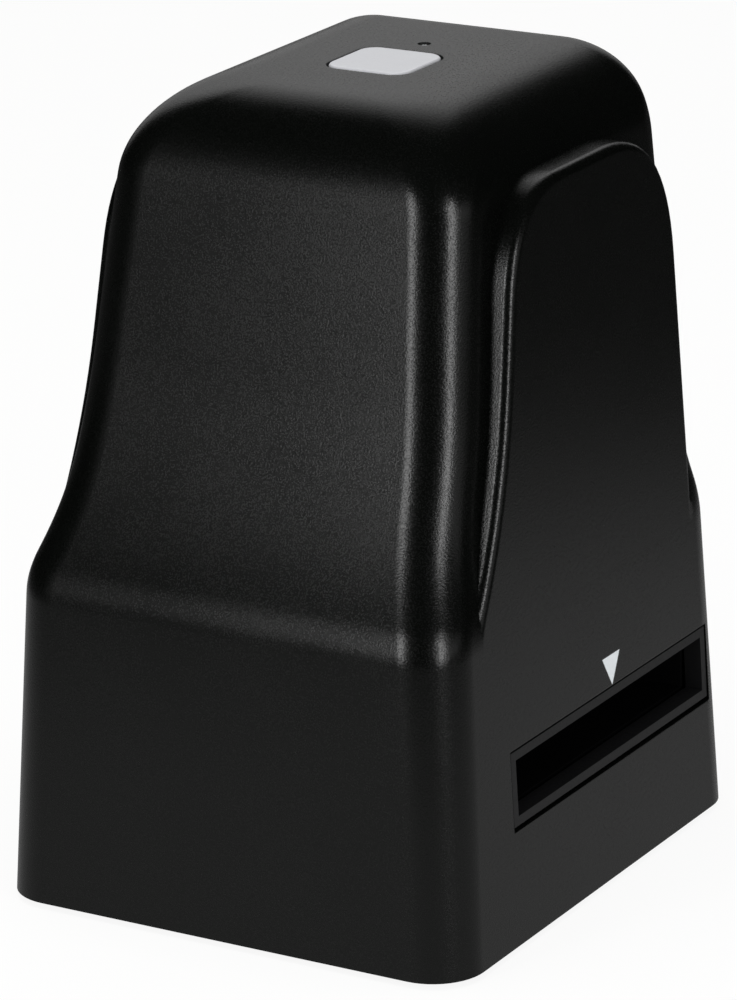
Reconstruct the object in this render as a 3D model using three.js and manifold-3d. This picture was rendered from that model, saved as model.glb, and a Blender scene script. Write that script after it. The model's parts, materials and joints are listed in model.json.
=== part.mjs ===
// A film negative scanner, in millimetres, +Z up, standing on the XY plane with its front to -Y.
// A film holder is pushed through the foot along X. The lamp box below it shines up through the
// film into the camera that hangs in the tower.

import * as THREE from 'three';
import { mergeVertices } from 'three/addons/utils/BufferGeometryUtils.js';
import Module from 'manifold-3d';

const wasm = await Module();
wasm.setup();

// Fits that every piece shares
const clearance = 0.3;
const seat = 0.05;
const overrun = 3;

// Hood: the foot, the tower and its rounds
const baseWidth = 92.5;
const overallHeight = 143;
const footStand = 1.2;
const wall = 2.2;
const sideDraftShare = 0.049;
const frontDraftShare = 0.048;
const rearDraftShare = 0.0385;
const cornerRadius = 9.5;
const frontShoulderHeight = 59.1;
const sideShoulderHeight = 59.5;
const shoulderRun = 3.5;
const frontKneeHeight = 80.2;
const frontKneeInset = 14.45;
const frontKneeRun = 18.5;
const frontTopInset = 25.2;
const sideKneeHeight = 71.7;
const sideKneeInset = 6.95;
const sideKneeRun = 9;
const sideTopInset = 12.4;
const topSideRound = 16;
const topFrontRound = 19;
const topRearRound = 11;
const topCornerRadius = 1.5;

// Hood: the raised wing on each side
const wingTopDrop = 12.5;
const wingFrontInset = 11.3;
const wingRearInset = 9.6;
const wingFrontCornerRun = 16;
const wingFrontCornerDrop = 18;
const wingRearCornerRun = 22;
const wingRearCornerDrop = 24;
const wingEdgeRound = 1.8;
const wingDepth = 12;
const wingFoot = 46;
const wingSink = 0.05;

// Slot for the film holder, and the bezel round each of its mouths
const slotWidth = 69;
const slotHeight = 10;
const slotCentreHeight = 28.8;
const bezelRim = 1.65;
const bezelRecess = 0.3;
const bezelFlange = 1.2;
const bezelLip = 1.4;
const windowGap = 0.4;

// Film gate: the lower half is a channel, the upper half its lid
const gateWall = 2;
const gateFloor = 2.4;
const frontSpace = 19.04;
const rearSpace = 5.53;
const frontEarDepth = 7.5;
const earWidth = 8;
const gateScrewInset = 10.5;
const pictureWidth = 38;
const pictureDepth = 26;

// Holder detent under the gate's floor, at the front edge of the slot
const detentNoseRadius = 1.6;
const detentNoseReach = 1.2;
const detentTravel = 1.1;
const detentCollarRadius = 2.3;
const detentCollarLength = 1.6;
const detentHousingRadius = 3.8;
const detentHousingLength = 10;
const detentPlugLength = 2.4;
const springWireRadius = 0.22;
const springCoilRadius = 1.5;

// Base plate and rubber feet
const plateThickness = 2.5;
const plateRecess = 0.5;
const footRadius = 4.5;
const footSink = 0.6;
const footInset = 10.5;
const hoodScrewSpreadShare = 0.2405;
const hoodScrewEndInset = 10;
const hoodBossRadius = 3.5;
const hoodBossTop = 18;
const ribThickness = 1.6;
const screwSeatThickness = 1.5;

// Screws: large ones hold the hood, small ones everything inside
const largeShaftRadius = 1.4;
const largeHeadRadius = 2.6;
const largeHeadHeight = 1.8;
const largeScrewLength = 12;
const smallShaftRadius = 1;
const smallHeadRadius = 1.9;
const smallHeadHeight = 1.2;
const smallScrewLength = 5;
const gateScrewLength = 24;
const shroudScrewLength = 4.2;
const screwGap = 0.15;
const screwCrownShare = 0.7;
const screwEdgeShare = 0.6;

// Backlight under the gate
const lampBoxWidth = 50;
const lampBoxDepth = 38;
const lampBoxWall = 1.6;
const lampBoxFloor = 11.25;
const lampBoardThickness = 1.2;
const diffuserThickness = 1.3;
const diffuserLedge = 0.6;
const lampWidth = 3.5;
const lampDepth = 2.8;
const lampHeight = 1.4;
const lampSpacingX = 24;
const lampSpacingY = 16;
const lampPinRadius = 1;
const lampPinHeadRadius = 1.7;
const lugReach = 3;
const lugHeight = 2;
const lugWidth = 10;
const hookThickness = 1.8;

// Light shroud and camera
const cameraHeadroom = 21.3;
const shroudWall = 1.8;
const shroudTopSize = 30;
const shroudBottomWidth = 44;
const shroudBottomDepth = 32;
const shroudFlange = 2.4;
const shroudFlangeReach = 8;
const cameraBossHeight = 8;
const cameraBossRadius = 2.4;
const cameraBoardSize = 34;
const boardThickness = 1.6;
const cameraScrewInset = 3.5;
const lensHolderSize = 18;
const lensHolderBase = 4;
const lensHolderRadius = 8;
const lensHolderReach = 14;
const lensRadius = 6;
const lensLength = 16;
const lensHeadRadius = 7;
const lensHeadLength = 3;
const lensBoreRadius = 3.4;
const lensGlassRadius = 4.4;
const lensGlassThickness = 1.8;
const lensCrownShare = 0.9;
const sensorPocket = 13;
const sensorPocketDepth = 2.5;
const sensorWidth = 9;
const sensorDepth = 7;
const sensorHeight = 1.4;

// Main board
const standoffHeight = 2.5;
const standoffRadius = 2.5;
const boardMargin = 1.2;
const socketX = -10;
const socketWidth = 7.7;
const socketHeight = 3.9;
const socketDepth = 8.6;
const socketShell = 0.4;
const socketMouthDepth = 6;
const socketOpeningMargin = 0.7;
const socketTongueMargin = 3;
const processorSize = 14;
const processorHeight = 1.2;
const memoryWidth = 8;
const memoryDepth = 11;
const memoryHeight = 1;

// Ribbon cable and its connectors
const ribbonX = 8.5;
const ribbonWidth = 12;
const ribbonThickness = 0.4;
const ribbonBend = 3;
const connectorWidth = 14;
const connectorDepth = 4;
const connectorHeight = 2.2;
const leadX = -8;
const leadWidth = 5;

// Scan button, its switch and the status light
const buttonSize = 16;
const buttonRadius = 4.5;
const buttonEdge = 0.4;
const buttonProud = 0.3;
const buttonGap = 0.4;
const buttonShift = 1.7;
const buttonTravel = 0.6;
const buttonThickness = 1.8;
const buttonSkirt = 1.2;
const buttonFlange = 1.4;
const buttonFlangeThickness = 1;
const buttonPostRadius = 2;
const collarDepth = 4;
const collarThickness = 1.2;
const switchSize = 6;
const switchHeight = 3.5;
const switchPlungerRadius = 1.7;
const switchPlungerProud = 0.9;
const switchPlungerSink = 1;
const switchBoardWidth = 32;
const switchBoardMargin = 5;
const switchBoardDrop = 7.6;
const switchBossX = 12.6;
const switchBossRadius = 2.2;
const lightHoleRadius = 1.2;
const lightPipeRadius = 0.95;
const lightPipeCollarRadius = 2;
const lightPipeCollar = 0.8;
const lightShift = 13.8;
const statusLampSize = 2;
const statusLampHeight = 0.9;

// Heights and places that follow from the sizes above
const hoodBottom = footStand;
const hoodTop = overallHeight - buttonProud;
const plateBottom = hoodBottom + plateRecess;
const plateTop = plateBottom + plateThickness;
const slotBottom = slotCentreHeight - slotHeight / 2;
const slotTop = slotCentreHeight + slotHeight / 2;
const gateBottom = slotBottom - gateFloor;
const gateTop = slotTop + gateFloor;
const roofInside = hoodTop - wall;
const wingTop = hoodTop - wingTopDrop;

// The foot is as deep as the gate, the spaces before and behind it, and the leaning walls
const leanAtGate = (frontDraftShare + rearDraftShare) * (gateTop - hoodBottom);
const baseDepth = slotWidth + 2 * (gateWall + wall) + leanAtGate + frontSpace + rearSpace;

// The drafted planes of the foot: half width, front and rear at a height
const halfWidthAt = (z) => baseWidth / 2 - sideDraftShare * (z - hoodBottom);
const rearAt = (z) => baseDepth / 2 - rearDraftShare * (z - hoodBottom);
const frontAt = (z) => frontDraftShare * (z - hoodBottom) - baseDepth / 2;

// The slot keeps its distance from the rear wall, and the tower's works are centred over it
const slotCentreY = rearAt(gateTop) - wall - rearSpace - gateWall - slotWidth / 2;
const slotFront = slotCentreY - slotWidth / 2;
const slotRear = slotCentreY + slotWidth / 2;
const gateHalfLength = halfWidthAt(gateTop) - wall - bezelFlange - 2 * clearance;
const gateScrewX = gateHalfLength - gateScrewInset;
const rearEarDepth = rearSpace - 1.5 * clearance;
const frontEarY = slotFront - gateWall - frontEarDepth / 2;
const rearEarY = slotRear + gateWall + rearEarDepth / 2;
const postRadius = rearEarDepth / 2;
const hoodScrewX = hoodScrewSpreadShare * baseWidth;
const hoodScrewY = baseDepth / 2 - hoodScrewEndInset;
const boardBottom = plateTop + standoffHeight;
const boardTop = boardBottom + boardThickness;
const buttonY = slotCentreY + buttonShift;
const lightY = buttonY + lightShift;
const switchBoardTop = roofInside - switchBoardDrop;
const switchBoardBottom = switchBoardTop - boardThickness;
const switchTop = switchBoardTop + switchHeight;
const plungerTop = switchTop + switchPlungerProud;
const cameraBoardTop = switchBoardBottom - cameraHeadroom;
const cameraBoardBottom = cameraBoardTop - boardThickness;
const shroudTop = cameraBoardBottom - cameraBossHeight;
const shroudHeight = shroudTop - gateTop;

const material = (color, roughness, metalness = 0) =>
  new THREE.MeshStandardMaterial({ color, roughness, metalness });
const materials = {
  hood: material(0x1c1c1d, 0.42),
  black: material(0x161617, 0.55),
  innerBlack: material(0x101011, 0.85),
  rubber: material(0x1a1a1a, 0.95),
  silver: material(0xd8d9dc, 0.35, 0.1),
  white: material(0xe8e8e4, 0.6),
  opal: material(0xf4f4f0, 0.45),
  board: material(0x1f5a34, 0.5),
  chip: material(0x1b1c1f, 0.6),
  steel: material(0xb9bcc0, 0.3, 1),
  glass: material(0x2a2440, 0.05),
  ribbon: material(0xdedbd0, 0.55),
  clear: material(0xe6eef0, 0.15),
};

const scanner = new THREE.Group();

// Closed geometry to a solid that can be joined and cut, and back
function toSolid(geometry) {
  if (geometry instanceof wasm.Manifold) return geometry;
  const bare = geometry.clone();
  bare.deleteAttribute('normal');
  bare.deleteAttribute('uv');
  const merged = mergeVertices(bare);
  return new wasm.Manifold(new wasm.Mesh({
    numProp: 3,
    vertProperties: new Float32Array(merged.attributes.position.array),
    triVerts: new Uint32Array(merged.index.array),
  }));
}

function toGeometry(solid) {
  const mesh = solid.getMesh();
  const geometry = new THREE.BufferGeometry();
  geometry.setAttribute('position', new THREE.BufferAttribute(new Float32Array(mesh.vertProperties), 3));
  geometry.setIndex(new THREE.BufferAttribute(new Uint32Array(mesh.triVerts), 1));
  geometry.computeVertexNormals();
  return geometry;
}

const join = (...shapes) => shapes.map(toSolid).reduce((whole, shape) => whole.add(shape));
const cut = (shape, ...tools) => tools.map(toSolid).reduce((whole, tool) => whole.subtract(tool), toSolid(shape));
const common = (shape, other) => toSolid(shape).intersect(toSolid(other));

function addPiece(name, shape, look, parent = scanner) {
  const geometry = shape instanceof wasm.Manifold ? toGeometry(shape) : shape;
  const mesh = new THREE.Mesh(geometry, look.clone());
  mesh.name = name;
  parent.add(mesh);
  return mesh;
}

// The same geometry on the other side of the YZ plane, with its faces still pointing out
function mirrored(shape) {
  const geometry = (shape instanceof wasm.Manifold ? toGeometry(shape) : shape.clone()).scale(-1, 1, 1);
  if (!geometry.index) geometry.setIndex([...Array(geometry.attributes.position.count).keys()]);
  const index = geometry.index.array;
  for (let i = 0; i < index.length; i += 3) [index[i + 1], index[i + 2]] = [index[i + 2], index[i + 1]];
  return geometry;
}

const steps = (from, to, count) =>
  Array.from({ length: count + 1 }, (_, i) => from + ((to - from) * i) / count);

const box = (x0, x1, y0, y1, z0, z1) =>
  new THREE.BoxGeometry(x1 - x0, y1 - y0, z1 - z0).translate((x0 + x1) / 2, (y0 + y1) / 2, (z0 + z1) / 2);

const rod = (radius, x, y, z0, z1, sides = 12) =>
  new THREE.CylinderGeometry(radius, radius, z1 - z0, sides).rotateX(Math.PI / 2).translate(x, y, (z0 + z1) / 2);

// A profile of [radius, height] points turned round the Z axis at x, y
const turned = (profile, x, y, sides = 16) =>
  new THREE.LatheGeometry(profile.map(([r, z]) => new THREE.Vector2(r, z)), sides)
    .rotateX(Math.PI / 2)
    .translate(x, y, 0);

function roundedRectangle(width, depth, radius, x = 0, y = 0) {
  const [left, right, low, high] = [x - width / 2, x + width / 2, y - depth / 2, y + depth / 2];
  const shape = new THREE.Shape();
  shape.moveTo(left + radius, low).lineTo(right - radius, low);
  shape.absarc(right - radius, low + radius, radius, -Math.PI / 2, 0);
  shape.lineTo(right, high - radius);
  shape.absarc(right - radius, high - radius, radius, 0, Math.PI / 2);
  shape.lineTo(left + radius, high);
  shape.absarc(left + radius, high - radius, radius, Math.PI / 2, Math.PI);
  shape.lineTo(left, low + radius);
  shape.absarc(left + radius, low + radius, radius, Math.PI, 1.5 * Math.PI);
  return shape;
}

const rectangle = (x0, x1, y0, y1) =>
  new THREE.Shape([[x0, y0], [x1, y0], [x1, y1], [x0, y1]].map(([x, y]) => new THREE.Vector2(x, y)));

// A flat outline given thickness along one axis
const alongZ = (shape, z0, z1, curveSegments = 4) =>
  new THREE.ExtrudeGeometry(shape, { depth: z1 - z0, bevelEnabled: false, curveSegments }).translate(0, 0, z0);

const toYZ = new THREE.Matrix4().makeBasis(
  new THREE.Vector3(0, 1, 0), new THREE.Vector3(0, 0, 1), new THREE.Vector3(1, 0, 0));
const alongX = (shape, x0, x1, curveSegments = 4) =>
  new THREE.ExtrudeGeometry(shape, { depth: x1 - x0, bevelEnabled: false, curveSegments })
    .applyMatrix4(toYZ)
    .translate(x0, 0, 0);

const alongY = (shape, y0, y1, curveSegments = 4) =>
  new THREE.ExtrudeGeometry(shape, { depth: y1 - y0, bevelEnabled: false, curveSegments })
    .rotateX(Math.PI / 2)
    .translate(0, y1, 0);

// One level of a rounded block, counter-clockwise seen from above
function ring(halfWidth, front, rear, radius, z, cornerSteps) {
  const centres = [
    [halfWidth - radius, front + radius],
    [halfWidth - radius, rear - radius],
    [radius - halfWidth, rear - radius],
    [radius - halfWidth, front + radius],
  ];
  return centres.flatMap(([x, y], quarter) =>
    steps(quarter - 1, quarter, cornerSteps).map((turn) => {
      const angle = (turn * Math.PI) / 2;
      return [x + radius * Math.cos(angle), y + radius * Math.sin(angle), z];
    }));
}

// Rings of equal length joined level by level, with a flat face at each end
function loft(rings) {
  const count = rings[0].length;
  const positions = rings.flat(2);
  const index = [];
  for (let level = 0; level + 1 < rings.length; level++) {
    for (let i = 0; i < count; i++) {
      const [a, b] = [level * count + i, level * count + ((i + 1) % count)];
      index.push(a, b, b + count, a, b + count, a + count);
    }
  }
  const last = (rings.length - 1) * count;
  for (let i = 1; i + 1 < count; i++) {
    index.push(0, i + 1, i, last, last + i, last + i + 1);
  }
  const geometry = new THREE.BufferGeometry();
  geometry.setAttribute('position', new THREE.Float32BufferAttribute(positions, 3));
  geometry.setIndex(index);
  return geometry;
}

// A leg of straight stretches whose corners are eased over a run to each side, read by height
function easedLeg(points, runs) {
  const path = new THREE.Path();
  path.moveTo(points[0].x, points[0].y);
  runs.forEach((run, i) => {
    const [before, corner, after] = points.slice(i, i + 3);
    const start = corner.clone().add(before.clone().sub(corner).setLength(run));
    const end = corner.clone().add(after.clone().sub(corner).setLength(run));
    path.lineTo(start.x, start.y);
    path.quadraticCurveTo(corner.x, corner.y, end.x, end.y);
  });
  const top = points[points.length - 1];
  path.lineTo(top.x, top.y);
  const samples = path.getPoints(16);
  return (z) => {
    const next = samples.findIndex((sample, i) => i > 0 && sample.y >= z);
    const above = samples[next < 0 ? samples.length - 1 : next];
    const below = samples[next < 0 ? samples.length - 2 : next - 1];
    return below.x + ((above.x - below.x) * (z - below.y)) / (above.y - below.y);
  };
}

const towerFront = easedLeg([
  new THREE.Vector2(frontAt(hoodBottom), hoodBottom),
  new THREE.Vector2(frontAt(frontShoulderHeight), frontShoulderHeight),
  new THREE.Vector2(frontKneeInset - baseDepth / 2, frontKneeHeight),
  new THREE.Vector2(frontTopInset - baseDepth / 2, hoodTop),
], [shoulderRun, frontKneeRun]);

const towerHalfWidth = easedLeg([
  new THREE.Vector2(halfWidthAt(hoodBottom), hoodBottom),
  new THREE.Vector2(halfWidthAt(sideShoulderHeight), sideShoulderHeight),
  new THREE.Vector2(baseWidth / 2 - sideKneeInset, sideKneeHeight),
  new THREE.Vector2(baseWidth / 2 - sideTopInset, hoodTop),
], [shoulderRun, sideKneeRun]);

// How far a round at the top has drawn a wall in at a height
function drawnIn(z, radius, top) {
  const rise = z - (top - radius);
  return rise <= 0 ? 0 : radius - Math.sqrt(Math.max(radius ** 2 - rise ** 2, 0));
}

// The foot and tower as one rounded block, moved in by an inset on every side and at the top
function towerBlock(inset, bottom, cornerSteps, roundSteps) {
  const top = hoodTop - inset;
  const largest = Math.max(topSideRound, topFrontRound, topRearRound) - inset;
  const shoulderTop = sideShoulderHeight + shoulderRun;
  const levels = [
    bottom,
    ...steps(frontShoulderHeight - shoulderRun, shoulderTop, 6),
    ...steps(shoulderTop, frontKneeHeight + frontKneeRun, 8).slice(1),
    ...steps(0, Math.PI / 2, roundSteps).map((angle) => top - largest * (1 - Math.sin(angle))),
  ];
  return loft(levels.map((z) => {
    const side = drawnIn(z, topSideRound - inset, top);
    const front = drawnIn(z, topFrontRound - inset, top);
    const rear = drawnIn(z, topRearRound - inset, top);
    const narrowing = side / (topSideRound - inset);
    const radius = cornerRadius - (cornerRadius - topCornerRadius) * narrowing - inset;
    return ring(
      towerHalfWidth(z) - inset - side,
      towerFront(z) + inset + front,
      rearAt(z) - inset - rear,
      Math.max(radius, clearance),
      z,
      cornerSteps);
  }));
}

// The right wing: the tower's side outline drawn in, raised to the foot's own side plane
function wing(inset, edgeRound) {
  const lean = Math.atan(sideDraftShare);
  const top = wingTop - inset;
  const frontEdge = (z) => towerFront(z) + wingFrontInset + inset;
  const rearEdge = (z) => rearAt(z) - wingRearInset - inset;
  const up = (z) => (z - hoodBottom) / Math.cos(lean);
  const shape = new THREE.Shape();
  shape.moveTo(frontEdge(wingFoot), up(wingFoot));
  shape.lineTo(rearEdge(wingFoot), up(wingFoot));
  shape.lineTo(rearEdge(top - wingRearCornerDrop), up(top - wingRearCornerDrop));
  shape.quadraticCurveTo(rearEdge(top), up(top), rearEdge(top) - wingRearCornerRun, up(top));
  shape.lineTo(frontEdge(top) + wingFrontCornerRun, up(top));
  const cornerBottom = top - wingFrontCornerDrop;
  shape.quadraticCurveTo(frontEdge(top), up(top), frontEdge(cornerBottom), up(cornerBottom));
  for (const z of steps(cornerBottom, frontShoulderHeight, 9).slice(1)) shape.lineTo(frontEdge(z), up(z));
  const rounding = {
    bevelEnabled: edgeRound > 0,
    bevelThickness: edgeRound,
    bevelSize: edgeRound,
    bevelOffset: -edgeRound,
    bevelSegments: 3,
  };
  const geometry = new THREE.ExtrudeGeometry(shape, { depth: wingDepth, curveSegments: 7, ...rounding });
  geometry.translate(0, 0, -wingDepth - edgeRound);
  const place = new THREE.Matrix4().makeBasis(
    new THREE.Vector3(0, 1, 0),
    new THREE.Vector3(-Math.sin(lean), 0, Math.cos(lean)),
    new THREE.Vector3(Math.cos(lean), 0, Math.sin(lean)));
  place.setPosition(halfWidthAt(hoodBottom) - inset - wingSink, 0, hoodBottom);
  return geometry.applyMatrix4(place);
}

// Four places that mirror each other across both centre lines
const fourCorners = (x, y) => [[x, y], [-x, y], [-x, -y], [x, -y]];

function hood() {
  const rightWing = wing(0, wingEdgeRound);
  const rightPocket = wing(wall, 0);
  const outside = join(towerBlock(0, hoodBottom, 7, 9), rightWing, mirrored(rightWing));
  const inside = join(towerBlock(wall, hoodBottom - overrun, 4, 5), rightPocket, mirrored(rightPocket));
  const bossBottom = plateBottom + largeHeadHeight + clearance + screwSeatThickness + seat;
  const wallMiddle = rearAt(hoodBossTop) - wall / 2;
  const bosses = fourCorners(hoodScrewX, hoodScrewY).flatMap(([x, y]) => [
    rod(hoodBossRadius, x, y, bossBottom, hoodBossTop),
    box(x - ribThickness / 2, x + ribThickness / 2, Math.min(y, Math.sign(y) * wallMiddle),
      Math.max(y, Math.sign(y) * wallMiddle), bossBottom, hoodBossTop),
  ]);
  const bossHoles = fourCorners(hoodScrewX, hoodScrewY).map(([x, y]) =>
    rod(largeShaftRadius + screwGap, x, y, bossBottom - overrun, bossBottom + largeScrewLength));
  const collarInside = buttonSize + 2 * (buttonFlange + buttonGap);
  const collarOutside = collarInside + 2 * collarThickness;
  const collar = cut(
    alongZ(roundedRectangle(collarOutside, collarOutside, buttonRadius, 0, buttonY), roofInside - collarDepth,
      hoodTop - wall / 2),
    alongZ(roundedRectangle(collarInside, collarInside, buttonRadius, 0, buttonY),
      roofInside - collarDepth - overrun, roofInside));
  const switchBosses = [-switchBossX, switchBossX].map((x) =>
    rod(switchBossRadius, x, buttonY, switchBoardTop + seat, hoodTop - wall / 2));
  const switchHoles = [-switchBossX, switchBossX].map((x) =>
    rod(smallShaftRadius + screwGap, x, buttonY, switchBoardTop - overrun, switchBoardTop + smallScrewLength));
  const windowRim = bezelRim + windowGap;
  const windows = box(-baseWidth, baseWidth, slotFront - windowRim, slotRear + windowRim, slotBottom - windowRim,
    slotTop + windowRim);
  const buttonHole = alongZ(
    roundedRectangle(buttonSize + 2 * buttonGap, buttonSize + 2 * buttonGap, buttonRadius + buttonGap, 0, buttonY),
    roofInside - overrun, hoodTop + overrun, 6);
  const lightHole = rod(lightHoleRadius, 0, lightY, roofInside - overrun, hoodTop + overrun);
  const socketMiddle = boardTop + socketHeight / 2;
  const socketHalfWidth = socketWidth / 2 + socketOpeningMargin;
  const socketHalfHeight = socketHeight / 2 + socketOpeningMargin;
  const socketHole = box(socketX - socketHalfWidth, socketX + socketHalfWidth, rearAt(hoodBottom) - wall - overrun,
    rearAt(hoodBottom) + overrun, socketMiddle - socketHalfHeight, socketMiddle + socketHalfHeight);
  const shell = join(cut(outside, inside), ...bosses, collar, ...switchBosses);
  return cut(shell, windows, buttonHole, lightHole, socketHole, ...bossHoles, ...switchHoles);
}
addPiece('hood', hood(), materials.hood);

// A slab that lies behind the right side face, between two depths
function sideSkin(near, far) {
  const [low, high] = [gateBottom - gateTop, gateTop + gateTop];
  const shape = new THREE.Shape([
    [halfWidthAt(low) - far, low],
    [halfWidthAt(low) - near, low],
    [halfWidthAt(high) - near, high],
    [halfWidthAt(high) - far, high],
  ].map(([x, z]) => new THREE.Vector2(x, z)));
  return alongY(shape, -baseDepth, baseDepth);
}

// A frame round the slot, as wide as a rim, cut to lie between two depths behind the side face
function slotFrame(rim, near, far) {
  const outer = rectangle(slotFront - rim, slotRear + rim, slotBottom - rim, slotTop + rim);
  outer.holes.push(rectangle(slotFront, slotRear, slotBottom, slotTop));
  return common(alongX(outer, 0, baseWidth), sideSkin(near, far));
}

function slotBezel() {
  const flangeNear = wall + clearance;
  const flange = slotFrame(bezelRim + windowGap + bezelLip, flangeNear, flangeNear + bezelFlange);
  return join(
    slotFrame(bezelRim, bezelRecess, flangeNear + bezelFlange),
    common(flange, towerBlock(flangeNear, plateTop, 8, 2)));
}
addPiece('slot_bezel_right', slotBezel(), materials.black);
addPiece('slot_bezel_left', mirrored(slotBezel()), materials.black);

// A screw along Z with its head's underside at a height, pointing up or down
function screw(x, y, seatHeight, up, shaftRadius, headRadius, headHeight, length) {
  const sign = up ? 1 : -1;
  const profile = [
    [0, -headHeight],
    [screwCrownShare * headRadius, -headHeight],
    [headRadius, -screwEdgeShare * headHeight],
    [headRadius, 0],
    [shaftRadius, 0],
    [shaftRadius, length - shaftRadius],
    [0, length],
  ].map(([r, z]) => [r, seatHeight + sign * z]);
  return turned(up ? profile : profile.reverse(), x, y, 10);
}
const smallScrew = (x, y, seatHeight, up, length = smallScrewLength) =>
  screw(x, y, seatHeight, up, smallShaftRadius, smallHeadRadius, smallHeadHeight, length);
const smallHole = (x, y, z0, z1) => rod(smallShaftRadius + screwGap, x, y, z0, z1, 12);

const gatePosts = [
  [gateScrewX, frontEarY],
  [-gateScrewX, frontEarY],
  [-gateScrewX, rearEarY],
  [gateScrewX, rearEarY],
];
const boardHalfWidth = gateScrewX - postRadius - boardMargin;
const boardHalfDepth = hoodScrewY - hoodBossRadius - boardMargin;
const standoffs = fourCorners(boardHalfWidth - standoffRadius - boardMargin, boardHalfDepth - standoffRadius);
const feet = fourCorners(baseWidth / 2 - footInset, baseDepth / 2 - footInset);
const cornerNames = ['rear_right', 'rear_left', 'front_left', 'front_right'];

function basePlate() {
  const innerX = halfWidthAt(plateTop) - wall - clearance;
  const innerY = rearAt(plateTop) - wall - clearance;
  const bossTop = plateBottom + largeHeadHeight + clearance + screwSeatThickness;
  const plate = alongZ(roundedRectangle(2 * innerX, 2 * innerY, cornerRadius - wall), plateBottom, plateTop, 6);
  const screwCups = fourCorners(hoodScrewX, hoodScrewY).map(([x, y]) =>
    rod(largeHeadRadius + plateThickness / 2, x, y, plateBottom, bossTop));
  const posts = gatePosts.map(([x, y]) => rod(postRadius, x, y, plateBottom, gateBottom - seat));
  const gussets = gatePosts.map(([x, y]) =>
    box(x - ribThickness / 2, x + ribThickness / 2, Math.min(y, y - Math.sign(y) * 2 * postRadius),
      Math.max(y, y - Math.sign(y) * 2 * postRadius), plateBottom, boardTop));
  const pillars = standoffs.map(([x, y]) => rod(standoffRadius, x, y, plateBottom, boardBottom - seat));
  const headHoles = fourCorners(hoodScrewX, hoodScrewY).flatMap(([x, y]) => [
    rod(largeHeadRadius + clearance, x, y, plateBottom - overrun, bossTop - screwSeatThickness),
    rod(largeShaftRadius + screwGap, x, y, plateBottom - overrun, bossTop + overrun),
  ]);
  const footHoles = feet.map(([x, y]) =>
    rod(footRadius + clearance, x, y, plateBottom - overrun, plateBottom + footSink, 20));
  const postHoles = gatePosts.map(([x, y]) =>
    smallHole(x, y, gateTop - gateScrewLength - smallShaftRadius, gateBottom + overrun));
  const pillarHoles = standoffs.map(([x, y]) => smallHole(x, y, plateTop, boardBottom + overrun));
  return cut(join(plate, ...screwCups, ...posts, ...gussets, ...pillars),
    ...headHoles, ...footHoles, ...postHoles, ...pillarHoles);
}
addPiece('base_plate', basePlate(), materials.black);

feet.forEach(([x, y], i) => {
  const top = plateBottom + footSink - seat;
  const chamfer = footSink / 2;
  const profile = [[0, 0], [footRadius - chamfer, 0], [footRadius, chamfer], [footRadius, top], [0, top]];
  addPiece(`foot_${cornerNames[i]}`, turned(profile, x, y, 20), materials.rubber);
});

fourCorners(hoodScrewX, hoodScrewY).forEach(([x, y], i) => {
  const seatHeight = plateBottom + largeHeadHeight + clearance - seat;
  addPiece(`hood_screw_${cornerNames[i]}`,
    screw(x, y, seatHeight, true, largeShaftRadius, largeHeadRadius, largeHeadHeight, largeScrewLength),
    materials.steel);
});

const detentY = slotFront + detentNoseRadius + clearance;
const detentBottom = gateBottom - detentHousingLength;
const plungerEnd = gateBottom - seat - detentCollarLength;
const plugTop = detentBottom + detentPlugLength;

const diffuserWidth = lampBoxWidth - 2 * diffuserLedge;
const diffuserDepth = lampBoxDepth - 2 * diffuserLedge;
const diffuserTop = gateBottom + gateFloor / 2;
const diffuserBottom = diffuserTop - diffuserThickness;
const lampBoxTop = diffuserBottom - seat;
const hookInside = lampBoxWidth / 2 + lugReach + clearance;
const lugBottom = lampBoxTop - lugHeight;

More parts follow.
